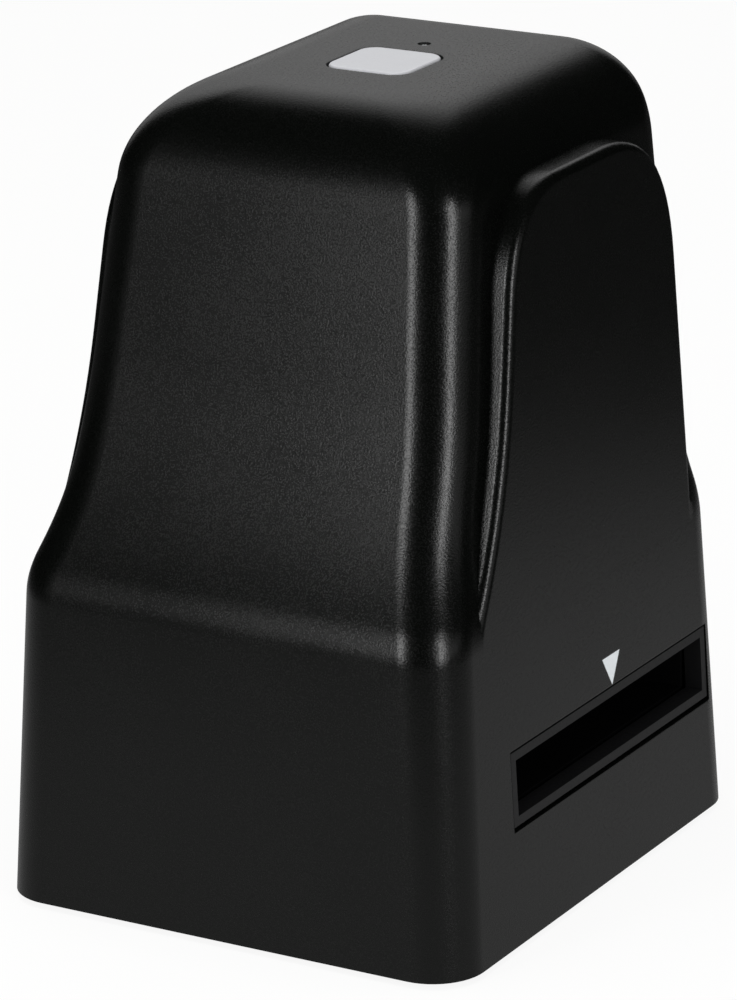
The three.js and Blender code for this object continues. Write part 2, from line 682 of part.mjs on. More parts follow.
function filmGateLower() {
  const outerFront = slotFront - gateWall;
  const outerRear = slotRear + gateWall;
  const channel = new THREE.Shape([
    [outerFront, gateBottom], [outerRear, gateBottom], [outerRear, slotTop], [slotRear, slotTop],
    [slotRear, slotBottom], [slotFront, slotBottom], [slotFront, slotTop], [outerFront, slotTop],
  ].map(([y, z]) => new THREE.Vector2(y, z)));
  const ears = gatePosts.map(([x, y]) => {
    const [near, far] = y < 0 ? [outerFront, outerFront - frontEarDepth] : [outerRear, outerRear + rearEarDepth];
    const root = near - Math.sign(far - near) * gateWall / 2;
    return box(x - earWidth / 2, x + earWidth / 2, Math.min(root, far), Math.max(root, far), gateBottom, slotTop);
  });
  const housing = rod(detentHousingRadius, 0, detentY, detentBottom, gateBottom + gateFloor / 2, 20);
  const bore = turned([
    [0, detentBottom - overrun],
    [detentCollarRadius + screwGap, detentBottom - overrun],
    [detentCollarRadius + screwGap, gateBottom],
    [detentNoseRadius + screwGap, gateBottom],
    [detentNoseRadius + screwGap, slotBottom + overrun],
    [0, slotBottom + overrun],
  ], 0, detentY, 16);
  const hooks = [-1, 1].flatMap((side) => {
    const arm = [side * hookInside, side * (hookInside + hookThickness)].sort((a, b) => a - b);
    const toe = [side * (hookInside - lugReach / 2), side * (hookInside + hookThickness / 2)].sort((a, b) => a - b);
    const [y0, y1] = [slotCentreY - lugWidth / 2, slotCentreY + lugWidth / 2];
    const toeTop = lugBottom - seat;
    return [
      box(...arm, y0, y1, toeTop - hookThickness, gateBottom + gateFloor / 2),
      box(...toe, y0, y1, toeTop - hookThickness, toeTop),
    ];
  });
  const picture = box(-pictureWidth / 2 - clearance, pictureWidth / 2 + clearance,
    slotCentreY - pictureDepth / 2 - clearance, slotCentreY + pictureDepth / 2 + clearance,
    gateBottom - overrun, slotBottom + overrun);
  const recess = box(-diffuserWidth / 2 - clearance, diffuserWidth / 2 + clearance,
    slotCentreY - diffuserDepth / 2 - clearance, slotCentreY + diffuserDepth / 2 + clearance,
    gateBottom - overrun, diffuserTop + seat);
  const holes = gatePosts.map(([x, y]) => smallHole(x, y, gateBottom - overrun, slotTop + overrun));
  const body = join(cut(alongX(channel, -gateHalfLength, gateHalfLength), picture, recess), ...ears, housing);
  return join(cut(body, bore, ...holes), ...hooks);
}
addPiece('film_gate_lower', filmGateLower(), materials.innerBlack);

const shroudScrewX = shroudBottomWidth / 2 + shroudWall + shroudFlangeReach / 2;

function filmGateUpper() {
  const lid = box(-gateHalfLength, gateHalfLength, slotFront - gateWall, slotRear + gateWall, slotTop + seat, gateTop);
  const tabs = gatePosts.map(([x, y]) => {
    const edge = y < 0 ? slotFront - gateWall - frontEarDepth : slotRear + gateWall + rearEarDepth;
    return box(x - earWidth / 2, x + earWidth / 2, Math.min(slotCentreY, edge), Math.max(slotCentreY, edge),
      slotTop + seat, gateTop);
  });
  const picture = box(-pictureWidth / 2, pictureWidth / 2, slotCentreY - pictureDepth / 2,
    slotCentreY + pictureDepth / 2, slotTop - overrun, gateTop + overrun);
  const holes = gatePosts.map(([x, y]) => smallHole(x, y, slotTop - overrun, gateTop + overrun));
  const shroudHoles = [-shroudScrewX, shroudScrewX].map((x) =>
    smallHole(x, slotCentreY, gateTop + shroudFlange - shroudScrewLength - screwGap, gateTop + overrun));
  return cut(join(lid, ...tabs), picture, ...holes, ...shroudHoles);
}
addPiece('film_gate_upper', filmGateUpper(), materials.innerBlack);

gatePosts.forEach(([x, y], i) => {
  const name = `gate_screw_${['front_right', 'front_left', 'rear_left', 'rear_right'][i]}`;
  addPiece(name, smallScrew(x, y, gateTop + seat, false, gateScrewLength), materials.steel);
});

// Detent: a round-nosed plunger that its spring holds up in the holder's path
function detentPlunger() {
  const noseCentre = slotBottom + detentNoseReach - detentNoseRadius;
  const nose = steps(0, Math.PI / 2, 4).map((angle) =>
    [detentNoseRadius * Math.cos(angle), noseCentre + detentNoseRadius * Math.sin(angle)]);
  return turned([
    [0, plungerEnd],
    [detentCollarRadius, plungerEnd],
    [detentCollarRadius, gateBottom - seat],
    [detentNoseRadius, gateBottom - seat],
    ...nose.slice(0, -1),
    [0, noseCentre + detentNoseRadius],
  ], 0, detentY, 14);
}

class Helix extends THREE.Curve {
  constructor(radius, length, turns) {
    super();
    Object.assign(this, { radius, length, turns });
  }

  getPoint(t) {
    const angle = 2 * Math.PI * this.turns * t;
    return new THREE.Vector3(this.radius * Math.cos(angle), this.radius * Math.sin(angle), this.length * t);
  }
}

function detentSpring() {
  const turns = 5;
  const start = plugTop + springWireRadius + seat;
  const length = plungerEnd - springWireRadius - seat - start;
  const section = new THREE.Shape().absarc(0, 0, springWireRadius, 0, 2 * Math.PI);
  return new THREE.ExtrudeGeometry(section, {
    curveSegments: 4,
    steps: 8 * turns,
    extrudePath: new Helix(springCoilRadius, length, turns),
  }).translate(0, detentY, start);
}

addPiece('detent_plunger', detentPlunger(), materials.steel);
addPiece('detent_spring', detentSpring(), materials.steel);
addPiece('detent_plug', rod(detentCollarRadius, 0, detentY, detentBottom, plugTop), materials.black);

// Backlight: reflector box, its board with four lamps, and the opal plate over it
const pinPlaces = [[-lampBoxWidth / 4, slotCentreY], [lampBoxWidth / 4, slotCentreY]];
const lampBoardTop = lampBoxFloor - seat;
const lampBoardBottom = lampBoardTop - lampBoardThickness;

function backlightBox() {
  const shape = roundedRectangle(lampBoxWidth, lampBoxDepth, lampBoxWall, 0, slotCentreY);
  const inner = rectangle(-lampBoxWidth / 2 + lampBoxWall, lampBoxWidth / 2 - lampBoxWall,
    slotCentreY - lampBoxDepth / 2 + lampBoxWall, slotCentreY + lampBoxDepth / 2 - lampBoxWall);
  const body = alongZ(shape, lampBoxFloor, lampBoxTop);
  const hollow = alongZ(inner, lampBoxFloor + lampBoxWall, lampBoxTop + overrun);
  const lugs = box(-lampBoxWidth / 2 - lugReach, lampBoxWidth / 2 + lugReach, slotCentreY - lugWidth / 2,
    slotCentreY + lugWidth / 2, lugBottom, lampBoxTop);
  const pins = pinPlaces.flatMap(([x, y]) => [
    rod(lampPinRadius, x, y, lampBoardBottom - lampPinRadius, lampBoxFloor + lampBoxWall / 2, 12),
    rod(lampPinHeadRadius, x, y, lampBoardBottom - lampPinRadius, lampBoardBottom - seat, 12),
  ]);
  const lampHoles = lampPlaces.map(([x, y]) =>
    box(x - lampWidth / 2 - clearance, x + lampWidth / 2 + clearance, y - lampDepth / 2 - clearance,
      y + lampDepth / 2 + clearance, lampBoxFloor - overrun, lampBoxFloor + lampBoxWall + overrun));
  return cut(join(body, lugs, ...pins), hollow, ...lampHoles);
}

const lampPlaces = [-1, 1].flatMap((i) => [-1, 1].map((j) =>
  [(i * lampSpacingX) / 2, slotCentreY + (j * lampSpacingY) / 2]));
addPiece('backlight_box', backlightBox(), materials.white);

const lampBoard = alongZ(
  roundedRectangle(lampBoxWidth, lampBoxDepth, lampBoxWall, 0, slotCentreY), lampBoardBottom, lampBoardTop);
const pinHoles = pinPlaces.map(([x, y]) =>
  rod(lampPinRadius + screwGap, x, y, lampBoardBottom - overrun, lampBoardTop + overrun, 12));
addPiece('backlight_board', cut(lampBoard, ...pinHoles), materials.white);

lampPlaces.forEach(([x, y], i) => {
  const lamp = box(x - lampWidth / 2, x + lampWidth / 2, y - lampDepth / 2, y + lampDepth / 2,
    lampBoardTop + seat, lampBoardTop + seat + lampHeight);
  addPiece(`backlight_lamp_${i + 1}`, lamp, materials.opal);
});

addPiece('diffuser_plate', box(-diffuserWidth / 2, diffuserWidth / 2, slotCentreY - diffuserDepth / 2,
  slotCentreY + diffuserDepth / 2, diffuserBottom, diffuserTop), materials.opal);

// Light shroud: a tapered tunnel on a flange, with a top plate that carries the camera
const cameraScrewReach = cameraBoardSize / 2 - cameraScrewInset;
const cameraPosts = [[1, 1], [-1, 1], [-1, -1], [1, -1]].map(([i, j]) =>
  [i * cameraScrewReach, slotCentreY + j * cameraScrewReach]);

function lightShroud() {
  const bottom = gateTop + seat;
  const level = (width, depth, z) =>
    ring(width / 2, slotCentreY - depth / 2, slotCentreY + depth / 2, shroudWall, z, 2);
  const grown = 2 * shroudWall;
  const outside = loft([
    level(shroudBottomWidth + grown, shroudBottomDepth + grown, bottom),
    level(shroudTopSize + grown, shroudTopSize + grown, shroudTop),
  ]);
  const slope = (shroudBottomWidth - shroudTopSize) / shroudHeight;
  const inside = loft([
    level(shroudBottomWidth + slope * overrun, shroudBottomDepth, bottom - overrun),
    level(shroudTopSize + slope * shroudFlange, shroudTopSize, shroudTop - shroudFlange),
  ]);
  const flangeReach = shroudBottomWidth / 2 + shroudWall + shroudFlangeReach;
  const flange = box(-flangeReach, flangeReach, slotCentreY - shroudBottomDepth / 4,
    slotCentreY + shroudBottomDepth / 4, bottom, gateTop + shroudFlange);
  const bosses = cameraPosts.map(([x, y]) =>
    rod(cameraBossRadius, x, y, shroudTop - shroudFlange / 2, cameraBoardBottom - seat));
  const bossHoles = cameraPosts.map(([x, y]) =>
    smallHole(x, y, cameraBoardBottom - cameraBossHeight + screwGap, cameraBoardBottom + overrun));
  const lensHole = rod(lensHolderRadius + clearance, 0, slotCentreY, shroudTop - shroudFlange - overrun,
    shroudTop + overrun, 24);
  const screwHoles = [-shroudScrewX, shroudScrewX].map((x) =>
    smallHole(x, slotCentreY, bottom - overrun, gateTop + shroudFlange + overrun));
  return cut(join(outside, flange, ...bosses), inside, lensHole, ...bossHoles, ...screwHoles);
}
addPiece('light_shroud', lightShroud(), materials.innerBlack);

[-shroudScrewX, shroudScrewX].forEach((x, i) => {
  addPiece(`shroud_screw_${['left', 'right'][i]}`,
    smallScrew(x, slotCentreY, gateTop + shroudFlange + seat, false, shroudScrewLength), materials.steel);
});

// Camera: board, sensor, lens holder, lens and glass
const cameraBoard = box(-cameraBoardSize / 2, cameraBoardSize / 2, slotCentreY - cameraBoardSize / 2,
  slotCentreY + cameraBoardSize / 2, cameraBoardBottom, cameraBoardTop);
addPiece('camera_board', cut(cameraBoard, ...cameraPosts.map(([x, y]) =>
  smallHole(x, y, cameraBoardBottom - overrun, cameraBoardTop + overrun))), materials.board);

cameraPosts.filter(([x, y]) => x * (y - slotCentreY) < 0).forEach(([x, y], i) => {
  addPiece(`camera_screw_${['rear', 'front'][i]}`, smallScrew(x, y, cameraBoardTop + seat, false), materials.steel);
});

addPiece('image_sensor', box(-sensorWidth / 2, sensorWidth / 2, slotCentreY - sensorDepth / 2,
  slotCentreY + sensorDepth / 2, cameraBoardBottom - seat - sensorHeight, cameraBoardBottom - seat), materials.chip);

const holderTop = cameraBoardBottom - seat;
const lensBottom = holderTop - lensHolderReach - lensLength / 2;

function lensHolder() {
  const base = alongZ(roundedRectangle(lensHolderSize, lensHolderSize, lensHolderBase / 4, 0, slotCentreY),
    holderTop - lensHolderBase, holderTop);
  const tube = rod(lensHolderRadius, 0, slotCentreY, holderTop - lensHolderReach, holderTop - lensHolderBase / 2, 24);
  const bore = rod(lensRadius + screwGap, 0, slotCentreY, holderTop - lensHolderReach - overrun,
    holderTop + overrun, 24);
  const pocket = box(-sensorPocket / 2, sensorPocket / 2, slotCentreY - sensorPocket / 2,
    slotCentreY + sensorPocket / 2, holderTop - sensorPocketDepth, holderTop + overrun);
  return cut(join(base, tube), bore, pocket);
}
addPiece('lens_holder', lensHolder(), materials.black);

addPiece('lens_barrel', turned([
  [lensGlassRadius + screwGap, lensBottom],
  [lensHeadRadius, lensBottom],
  [lensHeadRadius, lensBottom + lensHeadLength],
  [lensRadius, lensBottom + lensHeadLength],
  [lensRadius, lensBottom + lensLength],
  [lensBoreRadius, lensBottom + lensLength],
  [lensBoreRadius, lensBottom + lensHeadLength],
  [lensGlassRadius + screwGap, lensBottom + lensHeadLength],
  [lensGlassRadius + screwGap, lensBottom],
], 0, slotCentreY, 24), materials.black);

const glassTop = lensBottom + lensHeadLength - seat;
addPiece('lens_glass', turned([
  [0, glassTop - lensGlassThickness],
  [lensGlassRadius / 2, glassTop - lensCrownShare * lensGlassThickness],
  [lensGlassRadius, glassTop - lensGlassThickness / 2],
  [lensGlassRadius, glassTop],
  [0, glassTop],
], 0, slotCentreY, 24), materials.glass);

// Main board on the base plate, with the USB socket on a tongue that reaches the rear wall
const tongueEnd = rearAt(boardTop) - wall - 1.5 * clearance;
const tongueHalfWidth = socketWidth / 2 + socketTongueMargin;
const mainBoard = join(
  box(-boardHalfWidth, boardHalfWidth, -boardHalfDepth, boardHalfDepth, boardBottom, boardTop),
  box(socketX - tongueHalfWidth, socketX + tongueHalfWidth, 0, tongueEnd, boardBottom, boardTop));
addPiece('main_board', cut(mainBoard, ...standoffs.map(([x, y]) =>
  smallHole(x, y, boardBottom - overrun, boardTop + overrun))), materials.board);

[standoffs[1], standoffs[3]].forEach(([x, y], i) => {
  addPiece(`main_board_screw_${['rear', 'front'][i]}`,
    smallScrew(x, y, boardTop + seat, false, standoffHeight + boardThickness - screwGap), materials.steel);
});

const chipBottom = boardTop + seat;
addPiece('image_processor', box(-processorSize / 2, processorSize / 2, -processorSize / 2, processorSize / 2,
  chipBottom, chipBottom + processorHeight), materials.chip);
addPiece('memory_chip', box(-memoryWidth / 2, memoryWidth / 2, -processorSize - memoryDepth, -processorSize,
  chipBottom, chipBottom + memoryHeight), materials.chip);

function usbSocket() {
  const end = tongueEnd;
  const [x0, x1] = [socketX - socketWidth / 2, socketX + socketWidth / 2];
  const shell = box(x0, x1, end - socketDepth, end, chipBottom, chipBottom + socketHeight);
  const mouth = box(x0 + socketShell, x1 - socketShell, end - socketMouthDepth, end + overrun,
    chipBottom + socketShell, chipBottom + socketHeight - socketShell);
  const tongueMiddle = chipBottom + socketHeight / 2;
  const tongue = box(x0 + 3 * socketShell, x1 - 3 * socketShell, end - socketMouthDepth - socketShell,
    end - 2 * socketShell, tongueMiddle - socketShell, tongueMiddle + socketShell);
  return join(cut(shell, mouth), tongue);
}
addPiece('usb_socket', usbSocket(), materials.steel);

// Connectors and the flat cables that they hold
const connectorX = [ribbonX - connectorWidth / 2, ribbonX + connectorWidth / 2];
const mainConnectorRear = boardHalfDepth - clearance;
const cameraConnectorRear = slotCentreY + cameraBoardSize / 2 - clearance;
addPiece('camera_connector', box(...connectorX, cameraConnectorRear - connectorDepth, cameraConnectorRear,
  cameraBoardTop + seat, cameraBoardTop + seat + connectorHeight), materials.white);
addPiece('main_connector', box(...connectorX, mainConnectorRear - connectorDepth, mainConnectorRear,
  chipBottom, chipBottom + connectorHeight), materials.white);

// A thin strip that follows a path in the YZ plane
function strip(path, thickness, x, width) {
  const points = path.getPoints(5);
  const normals = points.map((point, i) => {
    const along = points[Math.min(i + 1, points.length - 1)].clone().sub(points[Math.max(i - 1, 0)]).normalize();
    return new THREE.Vector2(-along.y, along.x).multiplyScalar(thickness / 2);
  });
  const left = points.map((point, i) => point.clone().add(normals[i]));
  const right = points.map((point, i) => point.clone().sub(normals[i])).reverse();
  return alongX(new THREE.Shape([...right.reverse(), ...left.reverse()]), x - width / 2, x + width / 2);
}

function cameraRibbon() {
  const startHeight = cameraBoardTop + seat + connectorHeight / 2;
  const downY = slotCentreY + cameraBoardSize / 2 + ribbonBend;
  const overHeight = gateTop + ribbonBend;
  const rearY = slotRear + gateWall + rearSpace / 2;
  const endHeight = chipBottom + connectorHeight / 2;
  const path = new THREE.Path();
  path.moveTo(cameraConnectorRear + seat, startHeight);
  path.lineTo(downY - ribbonBend, startHeight);
  path.quadraticCurveTo(downY, startHeight, downY, startHeight - ribbonBend);
  path.lineTo(downY, overHeight + ribbonBend);
  path.quadraticCurveTo(downY, overHeight, downY + ribbonBend, overHeight);
  path.lineTo(rearY - ribbonBend, overHeight);
  path.quadraticCurveTo(rearY, overHeight, rearY, overHeight - ribbonBend);
  path.lineTo(rearY, endHeight + ribbonBend);
  path.quadraticCurveTo(rearY, endHeight, rearY - ribbonBend, endHeight);
  path.lineTo(mainConnectorRear + seat, endHeight);
  return strip(path, ribbonThickness, ribbonX, ribbonWidth);
}
addPiece('camera_ribbon', cameraRibbon(), materials.ribbon);

// Switch board under the roof, with the push switch, the status lamp and the lead to the camera
const switchBoardRear = lightY + switchBoardMargin;
const switchBoardFront = buttonY - switchBossRadius - switchBoardMargin;
const switchBoard = alongZ(
  roundedRectangle(switchBoardWidth, switchBoardRear - switchBoardFront, boardThickness, 0,
    (switchBoardRear + switchBoardFront) / 2),
  switchBoardBottom, switchBoardTop);
addPiece('switch_board', cut(switchBoard, ...[-switchBossX, switchBossX].map((x) =>
  smallHole(x, buttonY, switchBoardBottom - overrun, switchBoardTop + overrun))), materials.board);

[-switchBossX, switchBossX].forEach((x, i) => {
  addPiece(`switch_board_screw_${['left', 'right'][i]}`,
    smallScrew(x, buttonY, switchBoardBottom - seat, true), materials.steel);
});

const plungerBottom = switchTop - switchPlungerSink;
const plungerWell = plungerBottom - buttonTravel - clearance;
addPiece('switch_body', cut(
  box(-switchSize / 2, switchSize / 2, buttonY - switchSize / 2, buttonY + switchSize / 2,
    switchBoardTop + seat, switchTop),
  rod(switchPlungerRadius + screwGap, 0, buttonY, plungerWell, switchTop + overrun)), materials.chip);
addPiece('switch_plunger', rod(switchPlungerRadius, 0, buttonY, plungerBottom, plungerTop), materials.steel);

addPiece('status_lamp', box(-statusLampSize / 2, statusLampSize / 2, lightY - statusLampSize / 2,
  lightY + statusLampSize / 2, switchBoardTop + seat, switchBoardTop + seat + statusLampHeight), materials.clear);

const pipeBottom = switchBoardTop + statusLampHeight + clearance;
const pipeCollarTop = roofInside - seat;
addPiece('light_pipe', turned([
  [0, pipeBottom],
  [lightPipeRadius, pipeBottom],
  [lightPipeRadius, pipeCollarTop - lightPipeCollar],
  [lightPipeCollarRadius, pipeCollarTop - lightPipeCollar],
  [lightPipeCollarRadius, pipeCollarTop],
  [lightPipeRadius, pipeCollarTop],
  [lightPipeRadius, hoodTop - clearance],
  [0, hoodTop - clearance],
], 0, lightY), materials.clear);

function switchLead() {
  const y = lightY - switchBoardMargin;
  const path = new THREE.Path();
  path.moveTo(y, switchBoardBottom - seat);
  path.bezierCurveTo(y, switchBoardBottom - 3 * ribbonBend, y - ribbonBend, cameraBoardTop + 3 * ribbonBend,
    y - ribbonBend, cameraBoardTop + seat);
  return strip(path, ribbonThickness, leadX, leadWidth);
}
addPiece('switch_lead', switchLead(), materials.ribbon);

// Scan button: a cap with a rounded edge, a skirt, a flange that keeps it in, and a post
function scanButton() {
  const top = overallHeight;
  const flangeTop = roofInside - clearance;
  const half = buttonSize / 2;
  const level = (inset, z) => ring(half - inset, buttonY - half + inset, buttonY + half - inset,
    buttonRadius - inset, z, 4);
  const cap = loft([
    level(0, flangeTop - buttonFlangeThickness),
    ...steps(0, Math.PI / 2, 3).map((angle) =>
      level(buttonEdge * (1 - Math.cos(angle)), top - buttonEdge * (1 - Math.sin(angle)))),
  ]);
  const flangeSize = buttonSize + 2 * buttonFlange;
  const flange = alongZ(roundedRectangle(flangeSize, flangeSize, buttonRadius, 0, buttonY),
    flangeTop - buttonFlangeThickness, flangeTop);
  const inner = buttonSize - 2 * buttonSkirt;
  const hollow = alongZ(roundedRectangle(inner, inner, buttonRadius - buttonSkirt, 0, buttonY),
    flangeTop - buttonFlangeThickness - overrun, top - buttonThickness);
  const post = rod(buttonPostRadius, 0, buttonY, plungerTop + seat, top - buttonThickness / 2);
  return join(cut(join(cap, flange), hollow), post);
}
addPiece('scan_button', scanButton(), materials.silver);

export default scanner;
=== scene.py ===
# %% [markdown]
# # A film negative scanner in satin black plastic
# The real object is a small desktop box: a wide foot, a tower that rises from it in one sweep, a
# silver button on top and a slot in the side for the film holder. The solid model gives every size
# and place, so this script only adds what the eye needs: smooth moulded skins, small rounded
# edges, finishes and light. The first step loads the solid parts, which keep their names.

# %% Load the solid model
import json
import math

import bmesh
import bpy
from mathutils import Matrix, Vector


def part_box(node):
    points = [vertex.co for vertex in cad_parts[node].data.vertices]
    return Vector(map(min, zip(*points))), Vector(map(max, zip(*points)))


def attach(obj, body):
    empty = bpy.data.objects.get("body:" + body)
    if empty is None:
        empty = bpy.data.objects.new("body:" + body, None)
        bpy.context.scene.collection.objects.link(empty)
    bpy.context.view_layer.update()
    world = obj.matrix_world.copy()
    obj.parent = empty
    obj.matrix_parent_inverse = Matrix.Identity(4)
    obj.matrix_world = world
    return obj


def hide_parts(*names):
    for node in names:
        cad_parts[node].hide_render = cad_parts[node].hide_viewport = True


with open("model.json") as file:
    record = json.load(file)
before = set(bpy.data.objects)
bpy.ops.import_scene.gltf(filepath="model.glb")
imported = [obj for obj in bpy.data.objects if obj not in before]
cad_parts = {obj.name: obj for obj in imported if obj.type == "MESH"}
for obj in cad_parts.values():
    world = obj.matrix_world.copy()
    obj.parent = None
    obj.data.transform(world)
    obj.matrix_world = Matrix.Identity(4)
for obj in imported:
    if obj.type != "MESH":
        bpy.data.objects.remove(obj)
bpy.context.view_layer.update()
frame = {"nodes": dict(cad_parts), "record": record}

# %% [markdown]
# # Sizes
# Blender counts in metres and the drawing of the scanner in millimetres, so one factor turns one
# into the other. The sizes below are those of the drawing, so that each new skin fits its solid.

# %% Sizes of the foot, tower, wings and slot
MM = 0.001
HAIR = 0.002  # points closer together than this are one point
BASE_WIDTH, BASE_DEPTH = 92.5, 104.99
HOOD_BOTTOM, HOOD_TOP, WALL = 1.2, 142.7, 2.2
SIDE_DRAFT, FRONT_DRAFT, REAR_DRAFT = 0.049, 0.048, 0.0385  # how far a wall leans in per mm
CORNER, TOP_REAR_CORNER = 9.5, 1.0  # radii of the upright corners
TOP_SIDE, TOP_FRONT, TOP_REAR = 16.4, 14.5, 10.6  # radii of the rounds at the top
WING_TOP, WING_FRONT, WING_REAR, WING_EDGE = 130.2, 11.3, 9.6, 1.8
SLOT_FRONT, SLOT_REAR, SLOT_BOTTOM, SLOT_TOP = -27.58, 41.42, 23.8, 33.8


def span(node):
    """The lowest and highest corner of a solid part, in millimetres."""
    return [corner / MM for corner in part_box(node)]


cap_low, cap_high = span("scan_button")
light_low, light_high = span("light_pipe")
BUTTON_Y, LIGHT_Y = (cap_low.y + cap_high.y) / 2, (light_low.y + light_high.y) / 2
print("foot", BASE_WIDTH, "by", BASE_DEPTH, "mm, button at y", round(BUTTON_Y, 2), "mm")

# %% [markdown]
# # The camera
# The view was found by fitting the corners of the foot, slot and button in the photograph: a long
# lens, 30 degrees round to the right and 18 degrees up, with a slight roll. The lens is long,
# because the photograph hardly narrows towards the back. A small shift centres the object as there.

# %% Camera
AZIMUTH, ELEVATION, ROLL = math.radians(30.479), math.radians(18.017), math.radians(-1.071)
DISTANCE, TARGET = 951.4 * MM, Vector((0, 0, 72.2 * MM))

back = Vector((
    math.sin(AZIMUTH) * math.cos(ELEVATION),
    -math.cos(AZIMUTH) * math.cos(ELEVATION),
    math.sin(ELEVATION),
))
level = (-back).cross(Vector((0, 0, 1))).normalized()
upward = level.cross(-back)
right = level * math.cos(ROLL) + upward * math.sin(ROLL)
up = upward * math.cos(ROLL) - level * math.sin(ROLL)

camera = bpy.data.objects.new("photo_camera", bpy.data.cameras.new("photo_camera"))
bpy.context.scene.collection.objects.link(camera)
camera.matrix_world = Matrix((right, up, back)).transposed().to_4x4()
camera.location = TARGET + back * DISTANCE
camera.data.lens = 195.5
camera.data.sensor_width = 36
camera.data.shift_x = 0.0015
camera.data.shift_y = -0.0369
camera.data.clip_start = 0.01
bpy.context.scene.camera = camera
print("camera stands", round(DISTANCE, 3), "m away")

# %% [markdown]
# # Colour and shader helpers
# Colours are written as they look on a screen, in hex, and the shader wants them linear, so one
# function turns them. A second one adds a shader node with its settings and links in one line. The
# last three turn a real size into a texture's scale, and a grey pattern into numbers or colours.

# %% Helpers that turn colours and add nodes
def linear(code):
    """Turn an sRGB hex colour into the linear colour that a shader socket takes."""
    parts = [int(code[i:i + 2], 16) / 255 for i in (1, 3, 5)]
    parts = [p / 12.92 if p <= 0.04045 else ((p + 0.055) / 1.055) ** 2.4 for p in parts]
    return (*parts, 1.0)


def add(tree, kind, inputs=None, **settings):
    """Add a node. Inputs are plain values, or outputs of other nodes, which get linked."""
    node = tree.nodes.new(kind)
    for name, value in settings.items():
        setattr(node, name, value)
    for name, value in (inputs or {}).items():
        if isinstance(value, bpy.types.NodeSocket):
            tree.links.new(value, node.inputs[name])
        else:
            node.inputs[name].default_value = value
    return node


def new_material(name):
    """A material with an empty node tree and an output to fill."""
    material = bpy.data.materials.new(name)
    material.use_nodes = True
    material.node_tree.nodes.clear()
    return material, material.node_tree


def finish_material(tree, shader):
    """Plug a shader into the material's output."""
    add(tree, "ShaderNodeOutputMaterial", {"Surface": shader.outputs[0]})


print("black at", linear("#1c1c1d")[0])


# %% Helpers for patterns
def per_mm(size):
    """The texture scale at which one feature of the pattern is about this many millimetres."""
    return 1 / (size * MM)


def ramp(tree, factor, low, high, low_value, high_value):
    """Map a grey pattern between two levels onto a range of values."""
    node = add(tree, "ShaderNodeMapRange", {
        "Value": factor, "From Min": low, "From Max": high,
        "To Min": low_value, "To Max": high_value})
    return node.outputs[0]


def blend_colours(tree, factor, first, second):
    """Mix two colours, each a hex code or the output of another node, by a grey pattern."""
    node = add(tree, "ShaderNodeMix", data_type="RGBA")
    tree.links.new(factor, node.inputs[0])
    for socket, colour in ((node.inputs[6], first), (node.inputs[7], second)):
        if isinstance(colour, bpy.types.NodeSocket):
            tree.links.new(colour, socket)
        else:
            socket.default_value = linear(colour)
    return node.outputs[2]


print("a grain of 0.3 mm has the scale", round(per_mm(0.3)))

# %% [markdown]
# # The floor, backdrop and lamps
# The object was photographed on white paper before a lit white backdrop, and a black satin body
# shows best what stands round it. Its top mirrors the backdrop behind it, which is brightest a
# little above the object. Its right side mirrors the paper, bright near the object and dim further
# out, and a low wall beyond it. Its front mirrors a dim wall at the front left, and nothing hangs
# overhead. So the floor and the world are white to the camera, and reflections and clear things
# see them as lit from there. The floor keeps a tenth of plain paper, on which the shadow shows.

# %% How bright each part of the studio is
PAPER, PAPER_DIM, PAPER_NEAR, PAPER_FAR = 0.33, 0.03, 0.16, 0.40
PAPER_GLOW = 0.9  # the share of the floor that simply glows for the camera
BACKDROP, RIGHT_WALL, FRONT_WALL, FILL = 0.43, 0.5, 0.18, 0.54
SOFT_EDGE = 8  # degrees that a wall's side fades over, in and out
FRONT_WATTS, RIGHT_WATTS, TOP_WATTS = 1.75, 1.75, 7.2
STRIP_AWAY, STRIP_MIDDLE, STRIP_HEIGHT = 0.8, 0.25, 0.48
print("mirrored paper fades from", PAPER_NEAR, "to", PAPER_FAR, "m")


def round_the_table(azimuth, distance, height):
    """A place at an azimuth, counted from straight in front round to the right."""
    angle = math.radians(azimuth)
    return distance * math.sin(angle), -distance * math.cos(angle), height


# %% Floor
bpy.ops.object.select_all(action="DESELECT")
bpy.ops.mesh.primitive_plane_add(size=8, location=(0, 0, 0))
floor = bpy.context.object
floor.name = "pale_floor"


def seen_directly(tree):
    """Camera rays as one mask, glossy and transmission rays as a second one."""
    rays = add(tree, "ShaderNodeLightPath")
    mirrored = add(tree, "ShaderNodeMath", {
        0: rays.outputs["Is Glossy Ray"],
        1: rays.outputs["Is Transmission Ray"]}, operation="MAXIMUM")
    return rays.outputs["Is Camera Ray"], mirrored.outputs[0]


paper, tree = new_material("white_paper_floor")
camera_rays, mirror_rays = seen_directly(tree)
place = add(tree, "ShaderNodeTexCoord").outputs["Object"]
distance = add(tree, "ShaderNodeVectorMath", {0: place}, operation="LENGTH")
lit = add(tree, "ShaderNodeMapRange", {
    "Value": distance.outputs["Value"], "From Min": PAPER_NEAR, "From Max": PAPER_FAR,
    "To Min": PAPER, "To Max": PAPER_DIM}, interpolation_type="SMOOTHSTEP")
seen_white = add(tree, "ShaderNodeMath", {0: mirror_rays, 1: lit.outputs[0]}, operation="MULTIPLY")
white = add(tree, "ShaderNodeMath", {0: camera_rays, 1: seen_white.outputs[0]}, operation="ADD")
share = add(tree, "ShaderNodeMath", {0: camera_rays, 1: PAPER_GLOW}, operation="MULTIPLY")
share = add(tree, "ShaderNodeMath", {0: share.outputs[0], 1: mirror_rays}, operation="MAXIMUM")
matt = add(tree, "ShaderNodeBsdfDiffuse", {"Color": linear("#f4f4f2")})
glow = add(tree, "ShaderNodeEmission", {"Color": (1, 1, 1, 1), "Strength": white.outputs[0]})
